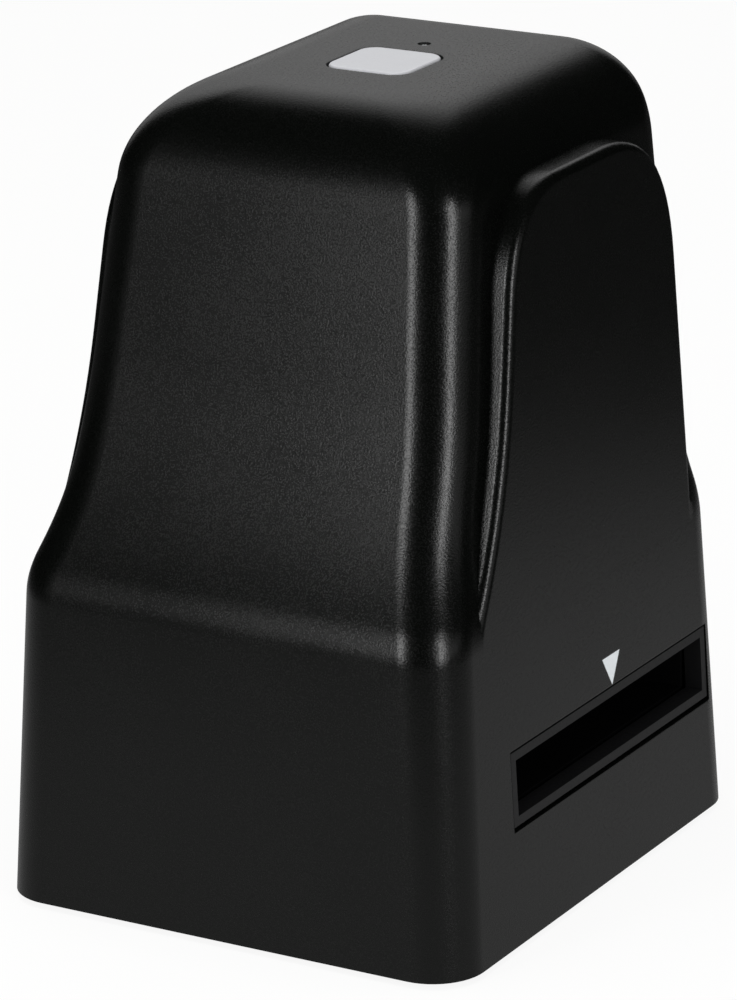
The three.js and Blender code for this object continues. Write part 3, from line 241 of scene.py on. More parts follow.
finish_material(tree, add(tree, "ShaderNodeMixShader", {
    0: share.outputs[0], 1: matt.outputs[0], 2: glow.outputs[0]}))
floor.data.materials.append(paper)
print("floor is white paper")

# %% World, and a function for its walls
world = bpy.data.worlds.new("studio")
bpy.context.scene.world = world
world.use_nodes = True
world.node_tree.nodes.clear()
tree = world.node_tree
camera_rays, mirror_rays = seen_directly(tree)
direction = add(tree, "ShaderNodeTexCoord").outputs["Generated"]
height = add(tree, "ShaderNodeSeparateXYZ", {0: direction}).outputs["Z"]
flat = add(tree, "ShaderNodeVectorMath", {0: direction, 1: (1, 1, 0)}, operation="MULTIPLY")
flat = add(tree, "ShaderNodeVectorMath", {0: flat.outputs[0]}, operation="NORMALIZE")


def lit_wall(azimuth, half_width, comes_in, goes_out, brightness):
    """A lit stretch of wall: it comes in between two heights, and goes out between two more."""
    facing = add(tree, "ShaderNodeVectorMath", {
        0: flat.outputs[0], 1: round_the_table(azimuth, 1, 0)}, operation="DOT_PRODUCT")
    across = add(tree, "ShaderNodeMapRange", {
        "Value": facing.outputs["Value"],
        "From Min": math.cos(math.radians(half_width + SOFT_EDGE)),
        "From Max": math.cos(math.radians(half_width - SOFT_EDGE))},
        interpolation_type="SMOOTHSTEP")
    brightness_here = across.outputs[0]
    for (start, end), far_side in ((comes_in, 1), (goes_out, 0)):
        fade = add(tree, "ShaderNodeMapRange", {
            "Value": height, "From Min": start, "From Max": end,
            "To Min": (1 - far_side) * brightness, "To Max": far_side},
            interpolation_type="SMOOTHSTEP")
        brightness_here = add(tree, "ShaderNodeMath", {
            0: brightness_here, 1: fade.outputs[0]}, operation="MULTIPLY").outputs[0]
    return brightness_here


print("world has its directions")

# %% The walls that reflections see, and the light of the world
from_below = (-0.2, -0.1)
mirrored = 0.0
for wall in (  # azimuth and half width in degrees, two pairs of heights, brightness
        lit_wall(213, 24, from_below, (0.62, 0.92), BACKDROP),
        lit_wall(213, 24, (0.25, 0.5), (0.62, 0.92), BACKDROP),
        lit_wall(82, 22, from_below, (0.2, 0.34), RIGHT_WALL),
        lit_wall(-22, 24, from_below, (0.0, 0.85), FRONT_WALL)):
    mirrored = add(tree, "ShaderNodeMath", {0: mirrored, 1: wall}, operation="ADD").outputs[0]
mirrored = add(tree, "ShaderNodeMath", {0: mirrored, 1: mirror_rays}, operation="MULTIPLY")
seen = add(tree, "ShaderNodeMath", {0: camera_rays, 1: mirror_rays}, operation="MAXIMUM")
unseen = add(tree, "ShaderNodeMath", {0: 1.0, 1: seen.outputs[0]}, operation="SUBTRACT")
unseen = add(tree, "ShaderNodeMath", {0: unseen.outputs[0], 1: FILL}, operation="MULTIPLY")
strength = add(tree, "ShaderNodeMath", {0: camera_rays, 1: mirrored.outputs[0]}, operation="ADD")
strength = add(tree, "ShaderNodeMath", {
    0: strength.outputs[0], 1: unseen.outputs[0]}, operation="ADD")
sky = add(tree, "ShaderNodeBackground", {"Color": (1, 1, 1, 1), "Strength": strength.outputs[0]})
add(tree, "ShaderNodeOutputWorld", {"Surface": sky.outputs[0]})
bpy.context.scene.view_settings.view_transform = "Standard"
print("world is white to the camera")

# %% [markdown]
# Two tall narrow softboxes stand at table level, one nearly in front and one at the right. They
# draw the two bright lines down the round corner between front and side. They end at about half a
# metre, so the round at the top of the front stays dark. A weak wide one lights the whole evenly,
# and nothing mirrors it.

# %% Lamps
def soft_lamp(name, place, aim, width, height, watts):
    """A rectangular softbox that faces a point; sizes and places are in metres."""
    data = bpy.data.lights.new(name, "AREA")
    data.shape = "RECTANGLE"
    data.size, data.size_y, data.energy = width, height, watts
    lamp = bpy.data.objects.new(name, data)
    bpy.context.scene.collection.objects.link(lamp)
    lamp.location = place
    lamp.rotation_euler = (Vector(aim) - Vector(place)).to_track_quat("-Z", "Y").to_euler()
    return lamp


for name, azimuth, width, watts in (
        ("front_strip", -14, 0.14, FRONT_WATTS), ("right_strip", 64, 0.15, RIGHT_WATTS)):
    place = round_the_table(azimuth, STRIP_AWAY, STRIP_MIDDLE)
    soft_lamp(name, place, (0, 0, 0.08), width, STRIP_HEIGHT, watts)
overhead = soft_lamp("overhead_fill", (0.0, -0.2, 1.2), (0, 0, 0.05), 0.9, 0.9, TOP_WATTS)
overhead.visible_glossy = False

# %% [markdown]
# # Black ABS with a spark-eroded skin
# The hood is moulded ABS. Its mould was spark-eroded, which leaves a fine, even sand-like grain, so
# highlights break into tiny specks and spread wide. ABS has an index of about 1.5. The real grain
# is about 0.2 mm; it is drawn at 0.3 mm, which is as fine as a picture of this size can show.

# %% Spark-eroded black ABS
def spark_eroded_abs():
    material, tree = new_material("spark_eroded_black_abs")
    place = add(tree, "ShaderNodeTexCoord").outputs["Object"]
    grain = add(tree, "ShaderNodeTexNoise", {
        "Vector": place, "Scale": per_mm(0.3), "Detail": 1.0, "Roughness": 0.5})
    broad = add(tree, "ShaderNodeTexNoise", {"Vector": place, "Scale": per_mm(18), "Detail": 1.0})
    colour = blend_colours(tree, grain.outputs["Fac"], "#020302", "#080908")
    fine = ramp(tree, grain.outputs["Fac"], 0.35, 0.65, -0.05, 0.05)
    wide = ramp(tree, broad.outputs["Fac"], 0.3, 0.7, 0.23, 0.26)
    rough = add(tree, "ShaderNodeMath", {0: fine, 1: wide}, operation="ADD")
    bump = add(tree, "ShaderNodeBump", {
        "Strength": 1.0, "Distance": 0.028 * MM, "Height": grain.outputs["Fac"]})
    shader = add(tree, "ShaderNodeBsdfPrincipled", {
        "Base Color": colour, "Roughness": rough.outputs[0], "Normal": bump.outputs[0],
        "IOR": 1.5, "Specular IOR Level": 0.4})
    finish_material(tree, shader)
    return material


finishes = {"hood_plastic": spark_eroded_abs()}
print("made", finishes["hood_plastic"].name)

# %% [markdown]
# # The other plastics
# The bezel and base plate are the same ABS without the grain, so they look plain and satin. Inside
# the gate and the light tunnel the plastic is dead matt, so that no stray light reaches the film.
# White ABS throws the lamps' light back and opal acrylic spreads it. The rubber of the feet is
# matt, and a chip is moulded in black epoxy. Each gets a weak noise in its colour and roughness,
# because moulded plastic is never even.

# %% Plain plastics
def moulded(name, dark, light, low, high, grain_mm, bump_mm, specular=0.5):
    """Moulded plastic: noise of a real grain size tints it and varies how rough it is."""
    material, tree = new_material(name)
    place = add(tree, "ShaderNodeTexCoord").outputs["Object"]
    grain = add(tree, "ShaderNodeTexNoise", {
        "Vector": place, "Scale": per_mm(grain_mm), "Detail": 3.0})
    colour = blend_colours(tree, grain.outputs["Fac"], dark, light)
    rough = ramp(tree, grain.outputs["Fac"], 0.3, 0.7, low, high)
    bump = add(tree, "ShaderNodeBump", {
        "Strength": 0.3, "Distance": bump_mm * MM, "Height": grain.outputs["Fac"]})
    shader = add(tree, "ShaderNodeBsdfPrincipled", {
        "Base Color": colour, "Roughness": rough, "Normal": bump.outputs[0],
        "IOR": 1.5, "Specular IOR Level": specular})
    finish_material(tree, shader)
    return material


# slot, name, dark and light colour, lowest and highest roughness, grain and bump in mm, specular
for slot, name, *numbers in (
        ("black_plastic", "satin_black_abs", "#101011", "#171718", 0.36, 0.48, 0.6, 0.01, 0.3),
        ("inner_black", "dead_matt_black_abs", "#030304", "#060607", 0.75, 0.9, 0.8, 0.04, 0.08),
        ("white_plastic", "white_abs_reflector", "#e4e4e0", "#efefec", 0.4, 0.55, 1.5, 0.01),
        ("opal_plastic", "opal_acrylic", "#f2f2ec", "#fbfbf7", 0.3, 0.42, 2.0, 0.005),
        ("foot_rubber", "matt_black_rubber", "#141414", "#1f1f1f", 0.8, 0.95, 0.5, 0.05, 0.3),
        ("chip_black", "black_moulding_epoxy", "#17181a", "#222326", 0.5, 0.7, 0.2, 0.01, 0.4)):
    finishes[slot] = moulded(name, *numbers)
print("plastics so far:", len(finishes))

# %% [markdown]
# # Silver paint on the button
# The button is plastic sprayed with silver-grey paint: aluminium flakes in a clear satin binder.
# The flakes are far finer than a pixel, so they show as a faint cloudiness. A quarter metallic
# shader keeps the paint bright from all sides, as flakes that lie at many angles do.

# %% Silver button paint
def silver_paint():
    material, tree = new_material("silver_satin_paint")
    place = add(tree, "ShaderNodeTexCoord").outputs["Object"]
    flakes = add(tree, "ShaderNodeTexVoronoi", {"Vector": place, "Scale": per_mm(0.3)})
    cloud = add(tree, "ShaderNodeTexNoise", {"Vector": place, "Scale": per_mm(0.9), "Detail": 3.0})
    mixed = add(tree, "ShaderNodeMath", {0: flakes.outputs["Distance"], 1: cloud.outputs["Fac"]},
                operation="MULTIPLY")
    colour = blend_colours(tree, mixed.outputs[0], "#d9dade", "#cfd0d4")
    rough = ramp(tree, cloud.outputs["Fac"], 0.3, 0.7, 0.32, 0.4)
    bump = add(tree, "ShaderNodeBump", {
        "Strength": 0.2, "Distance": 0.01 * MM, "Height": cloud.outputs["Fac"]})
    shader = add(tree, "ShaderNodeBsdfPrincipled", {
        "Base Color": colour, "Roughness": rough, "Normal": bump.outputs[0],
        "Metallic": 0.25, "Coat Weight": 0.3, "Coat Roughness": 0.2})
    finish_material(tree, shader)
    return material


finishes["button_silver"] = silver_paint()
print("made", finishes["button_silver"].name)

# %% [markdown]
# # Steel, glass, boards and cables
# These lie inside or underneath. Screws are zinc-plated steel with fine turning marks. The lens is
# coated glass. A circuit board is glass-fibre under a green mask, with copper tracks that show as
# slightly lighter lines, and a flat cable is polyester with its conductors as stripes, which are
# drawn 2 mm apart, coarser than the real ones, so that they show.

# %% Metal and glass
def plated_steel():
    material, tree = new_material("zinc_plated_steel")
    place = add(tree, "ShaderNodeTexCoord").outputs["Object"]
    stretched = add(tree, "ShaderNodeMapping", {"Vector": place, "Scale": (1, 1, 6)})
    marks = add(tree, "ShaderNodeTexNoise", {
        "Vector": stretched.outputs[0], "Scale": per_mm(1.2), "Detail": 4.0})
    colour = blend_colours(tree, marks.outputs["Fac"], "#b4b6ba", "#c9cbce")
    rough = ramp(tree, marks.outputs["Fac"], 0.3, 0.7, 0.22, 0.36)
    shader = add(tree, "ShaderNodeBsdfPrincipled", {
        "Base Color": colour, "Metallic": 1.0, "Roughness": rough})
    finish_material(tree, shader)
    return material


def coated_glass():
    material, tree = new_material("coated_lens_glass")
    place = add(tree, "ShaderNodeTexCoord").outputs["Object"]
    tint = add(tree, "ShaderNodeTexNoise", {"Vector": place, "Scale": per_mm(6)})
    colour = blend_colours(tree, tint.outputs["Fac"], "#c9c4e6", "#d4dcf0")
    shader = add(tree, "ShaderNodeBsdfPrincipled", {
        "Base Color": colour, "Roughness": 0.02, "IOR": 1.52, "Transmission Weight": 0.9})
    finish_material(tree, shader)
    return material


def clear_acrylic():
    material, tree = new_material("clear_acrylic")
    place = add(tree, "ShaderNodeTexCoord").outputs["Object"]
    haze = add(tree, "ShaderNodeTexNoise", {"Vector": place, "Scale": per_mm(0.8)})
    colour = blend_colours(tree, haze.outputs["Fac"], "#d8dcdf", "#eef0f1")
    rough = ramp(tree, haze.outputs["Fac"], 0.3, 0.7, 0.12, 0.25)
    shader = add(tree, "ShaderNodeBsdfPrincipled", {
        "Base Color": colour, "Roughness": rough, "IOR": 1.49, "Transmission Weight": 0.15})
    finish_material(tree, shader)
    return material


finishes["screw_steel"] = plated_steel()
finishes["lens_coated_glass"] = coated_glass()
finishes["clear_plastic"] = clear_acrylic()
print("metal and glass made")


# %% Boards and cables
def circuit_board():
    material, tree = new_material("green_masked_glass_fibre")
    place = add(tree, "ShaderNodeTexCoord").outputs["Object"]
    tracks = add(tree, "ShaderNodeTexBrick", {
        "Vector": place, "Scale": per_mm(10),
        "Mortar Size": 0.03, "Brick Width": 0.9, "Row Height": 0.12,
        "Color1": (0, 0, 0, 1), "Color2": (0.25, 0.25, 0.25, 1), "Mortar": (1, 1, 1, 1)})
    colour = blend_colours(tree, tracks.outputs["Color"], "#1c5a33", "#2f7a48")
    bump = add(tree, "ShaderNodeBump", {
        "Strength": 0.4, "Distance": 0.03 * MM, "Height": tracks.outputs["Color"]})
    shader = add(tree, "ShaderNodeBsdfPrincipled", {
        "Base Color": colour, "Roughness": 0.35, "Normal": bump.outputs[0], "IOR": 1.5})
    finish_material(tree, shader)
    return material


def flat_cable():
    material, tree = new_material("striped_polyester_cable")
    place = add(tree, "ShaderNodeTexCoord").outputs["Object"]
    # a band texture repeats about 3.14 times in each unit of its scale
    wires = add(tree, "ShaderNodeTexWave", {
        "Vector": place, "Scale": per_mm(2.0) / 3.14, "Distortion": 0.0},
        wave_type="BANDS", bands_direction="X")
    colour = blend_colours(tree, wires.outputs["Fac"], "#e6e2d6", "#c3bfb2")
    bump = add(tree, "ShaderNodeBump", {
        "Strength": 0.5, "Distance": 0.05 * MM, "Height": wires.outputs["Fac"]})
    shader = add(tree, "ShaderNodeBsdfPrincipled", {
        "Base Color": colour, "Roughness": 0.45, "Normal": bump.outputs[0], "IOR": 1.6})
    finish_material(tree, shader)
    return material


finishes["circuit_board"] = circuit_board()
finishes["flat_cable"] = flat_cable()
print("finishes:", sorted(finishes))

# %% [markdown]
# # Giving each solid part its finish
# The solid model's record names a material slot for each part. Every part takes its finish from
# there first; parts that get a smoother skin below are hidden then, and their skin gets the same.

# %% Finishes onto the solid parts
slot_of = {row["node"]: row["material_slot"] for row in frame["record"]["subparts"]}
for name, node in frame["nodes"].items():
    node.data.materials.clear()
    node.data.materials.append(finishes[slot_of[name]])
print(len(slot_of), "parts have a finish")

# %% [markdown]
# # Modelling helpers
# Everything below is modelled with the operators behind Blender's buttons. They act on what is
# selected, so one helper makes a piece the only selected one and opens it with nothing picked, and
# two more pick edges or faces by a test on their place. The next few apply a modifier, cut with a
# tool, smooth, and tie a finished piece to the part it stands for. The last two give a first shape.

# %% Helpers that select
def only(piece):
    """Leave edit mode, and make one piece the only selected one."""
    if bpy.context.mode != "OBJECT":
        bpy.ops.object.mode_set(mode="OBJECT")
    bpy.ops.object.select_all(action="DESELECT")
    piece.select_set(True)
    bpy.context.view_layer.objects.active = piece


def open_mesh(piece, kind="EDGE"):
    """Enter edit mode on one piece with nothing picked."""
    only(piece)
    bpy.ops.object.mode_set(mode="EDIT")
    bpy.ops.mesh.select_mode(type=kind)
    bpy.ops.mesh.select_all(action="DESELECT")


def pick_edges(piece, test):
    """Select the edges whose two ends, in millimetres, pass the test."""
    bpy.ops.mesh.select_all(action="DESELECT")
    mesh = bmesh.from_edit_mesh(piece.data)
    for edge in mesh.edges:
        edge.select_set(test(*(vertex.co / MM for vertex in edge.verts)))
    bmesh.update_edit_mesh(piece.data)
    return sum(edge.select for edge in mesh.edges)


def pick_faces(piece, test):
    """Select the faces whose middle, in millimetres, and normal pass the test."""
    bpy.ops.mesh.select_all(action="DESELECT")
    mesh = bmesh.from_edit_mesh(piece.data)
    mesh.normal_update()
    for face in mesh.faces:
        face.select_set(test(face.calc_center_median() / MM, face.normal))
    bmesh.update_edit_mesh(piece.data)
    return sum(face.select for face in mesh.faces)


def near(value, place):
    """Whether two places along an axis are the same, to a few hundredths of a millimetre."""
    return abs(value - place) < 0.03


print("helpers that select are ready")


# %% Helpers that finish a piece
def apply(piece, kind, **settings):
    """Add a modifier to a piece and apply it at once."""
    only(piece)
    modifier = piece.modifiers.new(kind.title(), kind)
    for name, value in settings.items():
        setattr(modifier, name, value)
    bpy.ops.object.modifier_apply(modifier=modifier.name)


def cut_with(piece, tool, operation="DIFFERENCE"):
    """Join or cut a piece with a tool, which is used up."""
    apply(piece, "BOOLEAN", operation=operation, object=tool, solver="EXACT")
    bpy.data.objects.remove(tool)


def smooth(piece, degrees=30):
    """Round shading except at corners sharper than the angle; large flat faces stay flat."""
    only(piece)
    bpy.ops.object.shade_smooth_by_angle(angle=math.radians(degrees))
    apply(piece, "WEIGHTED_NORMAL", keep_sharp=True, weight=50, thresh=0.01)


def settle(piece, name, node, body="housing"):
    """Name a finished piece, dress it as the node it stands for, and tie it to its body."""
    piece.name = piece.data.name = name
    piece.data.materials.clear()
    piece.data.materials.append(finishes[slot_of[node]])
    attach(piece, body)
    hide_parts(node)
    print(name, len(piece.data.polygons), "faces, stands for", node)


print("helpers that finish are ready")


# %% First shapes
def start_box(x0, x1, y0, y1, z0, z1):
    """A box between six planes, in millimetres, as a first shape or a cutting tool."""
    only(floor)
    middle = Vector(((x0 + x1) / 2, (y0 + y1) / 2, (z0 + z1) / 2)) * MM
    bpy.ops.mesh.primitive_cube_add(size=1, location=middle)
    box = bpy.context.object
    box.scale = Vector((x1 - x0, y1 - y0, z1 - z0)) * MM
    bpy.ops.object.transform_apply(location=True, rotation=True, scale=True)
    return box


def start_rod(radius, x, y, z0, z1, sides=48):
    """An upright rod, in millimetres."""
    only(floor)
    middle = Vector((x, y, (z0 + z1) / 2)) * MM
    bpy.ops.mesh.primitive_cylinder_add(
        vertices=sides, radius=radius * MM, depth=(z1 - z0) * MM, location=middle)
    bpy.ops.object.transform_apply(location=True, rotation=True, scale=True)
    return bpy.context.object


print("first shapes are ready")

# %% [markdown]
# # The shape of the tower, as two curves
# Seen from the side, the front wall is three straight stretches: the foot, the slope and the
# nearly upright tower. The two corners between them are eased by curves, and the side walls do the
# same. Each curve is sampled once and then read by height, which gives every level of the hood.

# %% Front and side curves
def eased_leg(points, runs):
    """Sample straight stretches whose corners are eased over a run; return a reader by height."""
    corners = [Vector(point) for point in points]
    samples = [corners[0]]
    for i, run in enumerate(runs):
        before, corner, after = corners[i:i + 3]
        start = corner + (before - corner).normalized() * run
        end = corner + (after - corner).normalized() * run
        for step in range(41):
            t = step / 40
            samples.append(start * (1 - t) ** 2 + corner * 2 * t * (1 - t) + end * t ** 2)
    samples.append(corners[-1])

    def at(z):
        k = next((i for i in range(1, len(samples)) if samples[i].y >= z), len(samples) - 1)
        low, high = samples[k - 1], samples[k]
        return low.x + (high.x - low.x) * (z - low.y) / (high.y - low.y)
    return at


def half_width_at(z):
    """Half the width of the foot at a height; the next two are its front and rear."""
    return BASE_WIDTH / 2 - SIDE_DRAFT * (z - HOOD_BOTTOM)


def front_at(z):
    return FRONT_DRAFT * (z - HOOD_BOTTOM) - BASE_DEPTH / 2


def rear_at(z):
    return BASE_DEPTH / 2 - REAR_DRAFT * (z - HOOD_BOTTOM)


FRONT_BEND, FRONT_SLOPE_TOP, FRONT_SLOPE_IN, FRONT_TOP_IN = 59.1, 80.2, 14.45, 26.0
SIDE_BEND, SIDE_SLOPE_TOP, SIDE_SLOPE_IN, SIDE_TOP_IN = 59.5, 71.7, 6.95, 12.2
tower_front = eased_leg(
    [(front_at(HOOD_BOTTOM), HOOD_BOTTOM), (front_at(FRONT_BEND), FRONT_BEND),
     (FRONT_SLOPE_IN - BASE_DEPTH / 2, FRONT_SLOPE_TOP),
     (FRONT_TOP_IN - BASE_DEPTH / 2, HOOD_TOP)], runs=[3.5, 18.5])
tower_half_width = eased_leg(
    [(half_width_at(HOOD_BOTTOM), HOOD_BOTTOM), (half_width_at(SIDE_BEND), SIDE_BEND),
     (BASE_WIDTH / 2 - SIDE_SLOPE_IN, SIDE_SLOPE_TOP),
     (BASE_WIDTH / 2 - SIDE_TOP_IN, HOOD_TOP)], runs=[3.5, 9.0])
print("tower front at 100 mm:", round(tower_front(100), 2))

# %% [markdown]
# # The hood, level by level
# A moulder would call this a drafted shell: every wall leans in a little so that the part leaves
# the mould. It could be sculpted from a cube with a subdivision surface, but its corner radius and
# slopes are known at every height. So each level is a plane, sized and with its corners beveled
# round, and Bridge Edge Loops then joins the stack of loops into one smooth skin.

# %% One level, and a stack of levels
def add_level(half_width, front, rear, front_radius, rear_radius, z, corner_steps):
    """One rounded rectangle at a height, added to the mesh that is open."""
    middle = Vector((0, (front + rear) / 2, z)) * MM
    bpy.ops.mesh.primitive_plane_add(size=1, location=middle)
    bpy.ops.transform.resize(
        value=(2 * half_width * MM, (rear - front) * MM, 1), center_override=middle)
    data = bpy.context.object.data
    for y, radius in ((front, front_radius), (rear, rear_radius)):
        mesh = bmesh.from_edit_mesh(data)
        for vertex in mesh.verts:
            place = vertex.co / MM
            vertex.select_set(near(place.z, z) and near(place.y, y))
        mesh.select_flush_mode()
        bmesh.update_edit_mesh(data)
        bpy.ops.mesh.bevel(
            affect="VERTICES", offset_type="OFFSET", offset=radius * MM, segments=corner_steps)


def bridge_levels(name, levels):
    """Stack levels in a new mesh, join them, and close both ends."""
    only(floor)
    bpy.ops.mesh.primitive_plane_add(size=1, location=(0, 0, 0))
    block = bpy.context.object
    block.name = name
    bpy.ops.object.mode_set(mode="EDIT")
    bpy.ops.mesh.select_mode(type="VERT")
    bpy.ops.mesh.select_all(action="SELECT")
    bpy.ops.mesh.delete(type="VERT")
    for one in levels:
        add_level(*one)
    bpy.ops.mesh.select_all(action="SELECT")
    bpy.ops.mesh.delete(type="ONLY_FACE")
    bpy.ops.mesh.select_all(action="SELECT")
    bpy.ops.mesh.bridge_edge_loops()
    bpy.ops.mesh.select_all(action="SELECT")
    bpy.ops.mesh.fill_holes(sides=0)
    bpy.ops.mesh.select_all(action="SELECT")
    bpy.ops.mesh.normals_make_consistent(inside=False)
    bpy.ops.object.mode_set(mode="OBJECT")
    return block


print("levels can be stacked")


# %% The foot and tower skin
def drawn_in(z, radius, top):
    """How far a round at the top has drawn a wall in at a height."""
    rise = z - (top - radius)
    return radius - math.sqrt(max(radius ** 2 - rise ** 2, 0)) if rise > 0 else 0


def tower_levels(inset, bottom, corner_steps, fineness):
    """The foot and tower, moved in by an inset all round and at the top.

    The levels lie closest together where the walls bend: at the shoulder, the slope and the top.
    """
    top = HOOD_TOP - inset
    largest = max(TOP_SIDE, TOP_FRONT) - inset
    heights = [bottom, 20, 40]
    heights += [55 + i * 8.5 / (17 * fineness) for i in range(int(17 * fineness) + 1)]
    heights += [65 + i * 34 / (20 * fineness) for i in range(int(20 * fineness) + 1)]
    heights += [104, 110, 117]
    turns = int(24 * fineness)
    heights += [top - largest * (1 - math.sin(math.pi / 2 * i / turns)) for i in range(turns + 1)]
    for z in heights:
        side, front, rear = (drawn_in(z, r - inset, top) for r in (TOP_SIDE, TOP_FRONT, TOP_REAR))
        narrowing = side / (TOP_SIDE - inset)
        rear_radius = CORNER - (CORNER - TOP_REAR_CORNER) * narrowing - inset
        yield (tower_half_width(z) - inset - side, tower_front(z) + inset + front,
               rear_at(z) - inset - rear, CORNER - inset, max(rear_radius, 0.3), z, corner_steps)


hood = bridge_levels("hood_skin", tower_levels(0, HOOD_BOTTOM, 12, 1))
print("tower skin:", len(hood.data.polygons), "faces")

# %% [markdown]
# # The wings
# The raised panel on each side lies in the foot's own leaning side plane, and its outline is the
# tower's, drawn in. Such an outline is drawn as by hand: one point is extruded along it, step by
# step, and the closed line is filled. The face is extruded into the tower, its rim is beveled, and
# a mirror makes the other side. It is sunk by a few thousandths of a millimetre, so that it never
# lies exactly in the foot's face, which would leave the join undecided.

# %% The outline of a wing
def wing_corner(edge, drop, run):
    """A top corner of the wing as points from its side up to its flat top."""
    low, middle, high = (
        Vector((edge(WING_TOP - drop), WING_TOP - drop)), Vector((edge(WING_TOP), WING_TOP)),
        Vector((edge(WING_TOP) + run, WING_TOP)))
    turn = [i / 16 for i in range(17)]
    return [low * (1 - t) ** 2 + middle * 2 * t * (1 - t) + high * t ** 2 for t in turn]


def wing_front(z):
    return tower_front(z) + WING_FRONT


def wing_rear(z):
    return rear_at(z) - WING_REAR


WING_FOOT = 46
outline = [Vector((wing_front(z), z)) for z in (WING_FOOT, *range(54, 66), *range(66, 110, 3))]
outline += wing_corner(wing_front, drop=18, run=16)
outline += wing_corner(wing_rear, drop=24, run=-22)[::-1]
outline.append(Vector((wing_rear(WING_FOOT), WING_FOOT)))
print("wing outline:", len(outline), "points")

# %% The wing plates
SUNK, WING_DEEP = 0.005, 14


def wing_place(point):
    """A point of the outline, [y, z] in millimetres, on the sunk side plane, in metres."""
    return Vector((half_width_at(point.y) - SUNK, point.x, point.y)) * MM


def on_side(p):
    """Whether a point lies in the leaning side plane, left or right."""
    return abs(abs(p.x) - half_width_at(p.z)) < 0.06


only(floor)
bpy.ops.mesh.primitive_plane_add(size=MM, location=wing_place(outline[0]))
wing = bpy.context.object
bpy.ops.object.mode_set(mode="EDIT")
bpy.ops.mesh.select_all(action="SELECT")
bpy.ops.mesh.merge(type="CENTER")
for before, after in zip(outline, outline[1:]):
    bpy.ops.mesh.extrude_vertices_move(
        TRANSFORM_OT_translate={"value": wing_place(after) - wing_place(before)})
bpy.ops.mesh.select_all(action="SELECT")
bpy.ops.mesh.edge_face_add()
bpy.ops.mesh.extrude_region_move(TRANSFORM_OT_translate={"value": (-WING_DEEP * MM, 0, 0)})
bpy.ops.mesh.select_all(action="SELECT")
bpy.ops.mesh.normals_make_consistent(inside=False)
bpy.ops.object.mode_set(mode="OBJECT")
bpy.ops.object.transform_apply(location=True, rotation=True, scale=True)
open_mesh(wing)
rim = pick_edges(
    wing, lambda a, b: on_side(a) and on_side(b) and max(a.z, b.z) > WING_FOOT + 1)
bpy.ops.mesh.bevel(offset=WING_EDGE * MM, segments=6)
bpy.ops.object.mode_set(mode="OBJECT")
apply(wing, "MIRROR", use_axis=(True, False, False))
print("wing rim edges beveled:", rim, "faces", len(wing.data.polygons))
cut_with(hood, wing, "UNION")
print("hood with wings:", len(hood.data.polygons), "faces")

# %% [markdown]
# # Hollowing the hood, and its openings
# The same levels, moved in by the wall, are the core of the mould, and cutting them out leaves a
# shell. The slot window, the button's hole, the light's hole and the plug recess follow. The edges
# of the window and the button's hole get a fine bevel, because a mould can't make them razor sharp.

# %% Hollow, slot, button and plug openings
FRAME, FRAME_BELOW = 2.08, 2.35  # the bezel's width and the dark gap round it
WINDOW_FRONT, WINDOW_REAR = SLOT_FRONT - FRAME, SLOT_REAR + FRAME
WINDOW_BOTTOM, WINDOW_TOP = SLOT_BOTTOM - FRAME_BELOW, SLOT_TOP + FRAME
WELL, WELL_CORNER, PINHOLE = 8.4, 3.8, 1.2
UNDER_ROOF, OVER_ROOF = 130, 150
PLUG_LEFT, PLUG_RIGHT, PLUG_BOTTOM, PLUG_TOP = -14.55, -5.45, 7.6, 12.9

core = bridge_levels("hood_core", tower_levels(WALL, -2, 6, 0.5))
cut_with(hood, core)
cut_with(hood, start_box(-60, 60, WINDOW_FRONT, WINDOW_REAR, WINDOW_BOTTOM, WINDOW_TOP))
well = start_box(-WELL, WELL, BUTTON_Y - WELL, BUTTON_Y + WELL, UNDER_ROOF, OVER_ROOF)
open_mesh(well)
pick_edges(well, lambda a, b: abs(a.z - b.z) > 1)
bpy.ops.mesh.bevel(offset=WELL_CORNER * MM, segments=14)
bpy.ops.object.mode_set(mode="OBJECT")
cut_with(hood, well)
cut_with(hood, start_rod(PINHOLE, 0, LIGHT_Y, UNDER_ROOF, OVER_ROOF))
cut_with(hood, start_box(PLUG_LEFT, PLUG_RIGHT, 40, 60, PLUG_BOTTOM, PLUG_TOP))
print("hood with openings:", len(hood.data.polygons), "faces")

# %% Fine edges, shading and dress of the hood
FINE_EDGE = 0.25


def on_window(p):
    """Whether a point lies on the rim of the slot's window."""
    return (on_side(p) and WINDOW_FRONT - 0.05 < p.y < WINDOW_REAR + 0.05
            and WINDOW_BOTTOM - 0.05 < p.z < WINDOW_TOP + 0.05
            and (near(p.y, WINDOW_FRONT) or near(p.y, WINDOW_REAR)
                 or near(p.z, WINDOW_BOTTOM) or near(p.z, WINDOW_TOP)))


def on_well(p):
    """Whether a point lies on the rim of the button's hole."""
    return near(p.z, HOOD_TOP) and max(abs(p.x), abs(p.y - BUTTON_Y)) < WELL + 0.1


open_mesh(hood)
bpy.ops.mesh.select_all(action="SELECT")
bpy.ops.mesh.remove_doubles(threshold=HAIR * MM)
found = pick_edges(
    hood, lambda a, b: any(on_rim(a) and on_rim(b) for on_rim in (on_window, on_well)))
bpy.ops.mesh.bevel(offset=FINE_EDGE * MM, segments=2)
bpy.ops.mesh.select_all(action="SELECT")
bpy.ops.mesh.dissolve_degenerate(threshold=HAIR * MM)
print("fine edges:", found)
smooth(hood, 35)
settle(hood, "hood_skin", "hood")

# %% [markdown]
# # Bezels, gate and the parts seen through the slot
# Their solids are right, but their edges are razor sharp. A copy of each gets its loose triangles
# merged, flat faces joined, and a fine bevel that catches the light as a moulded edge does.

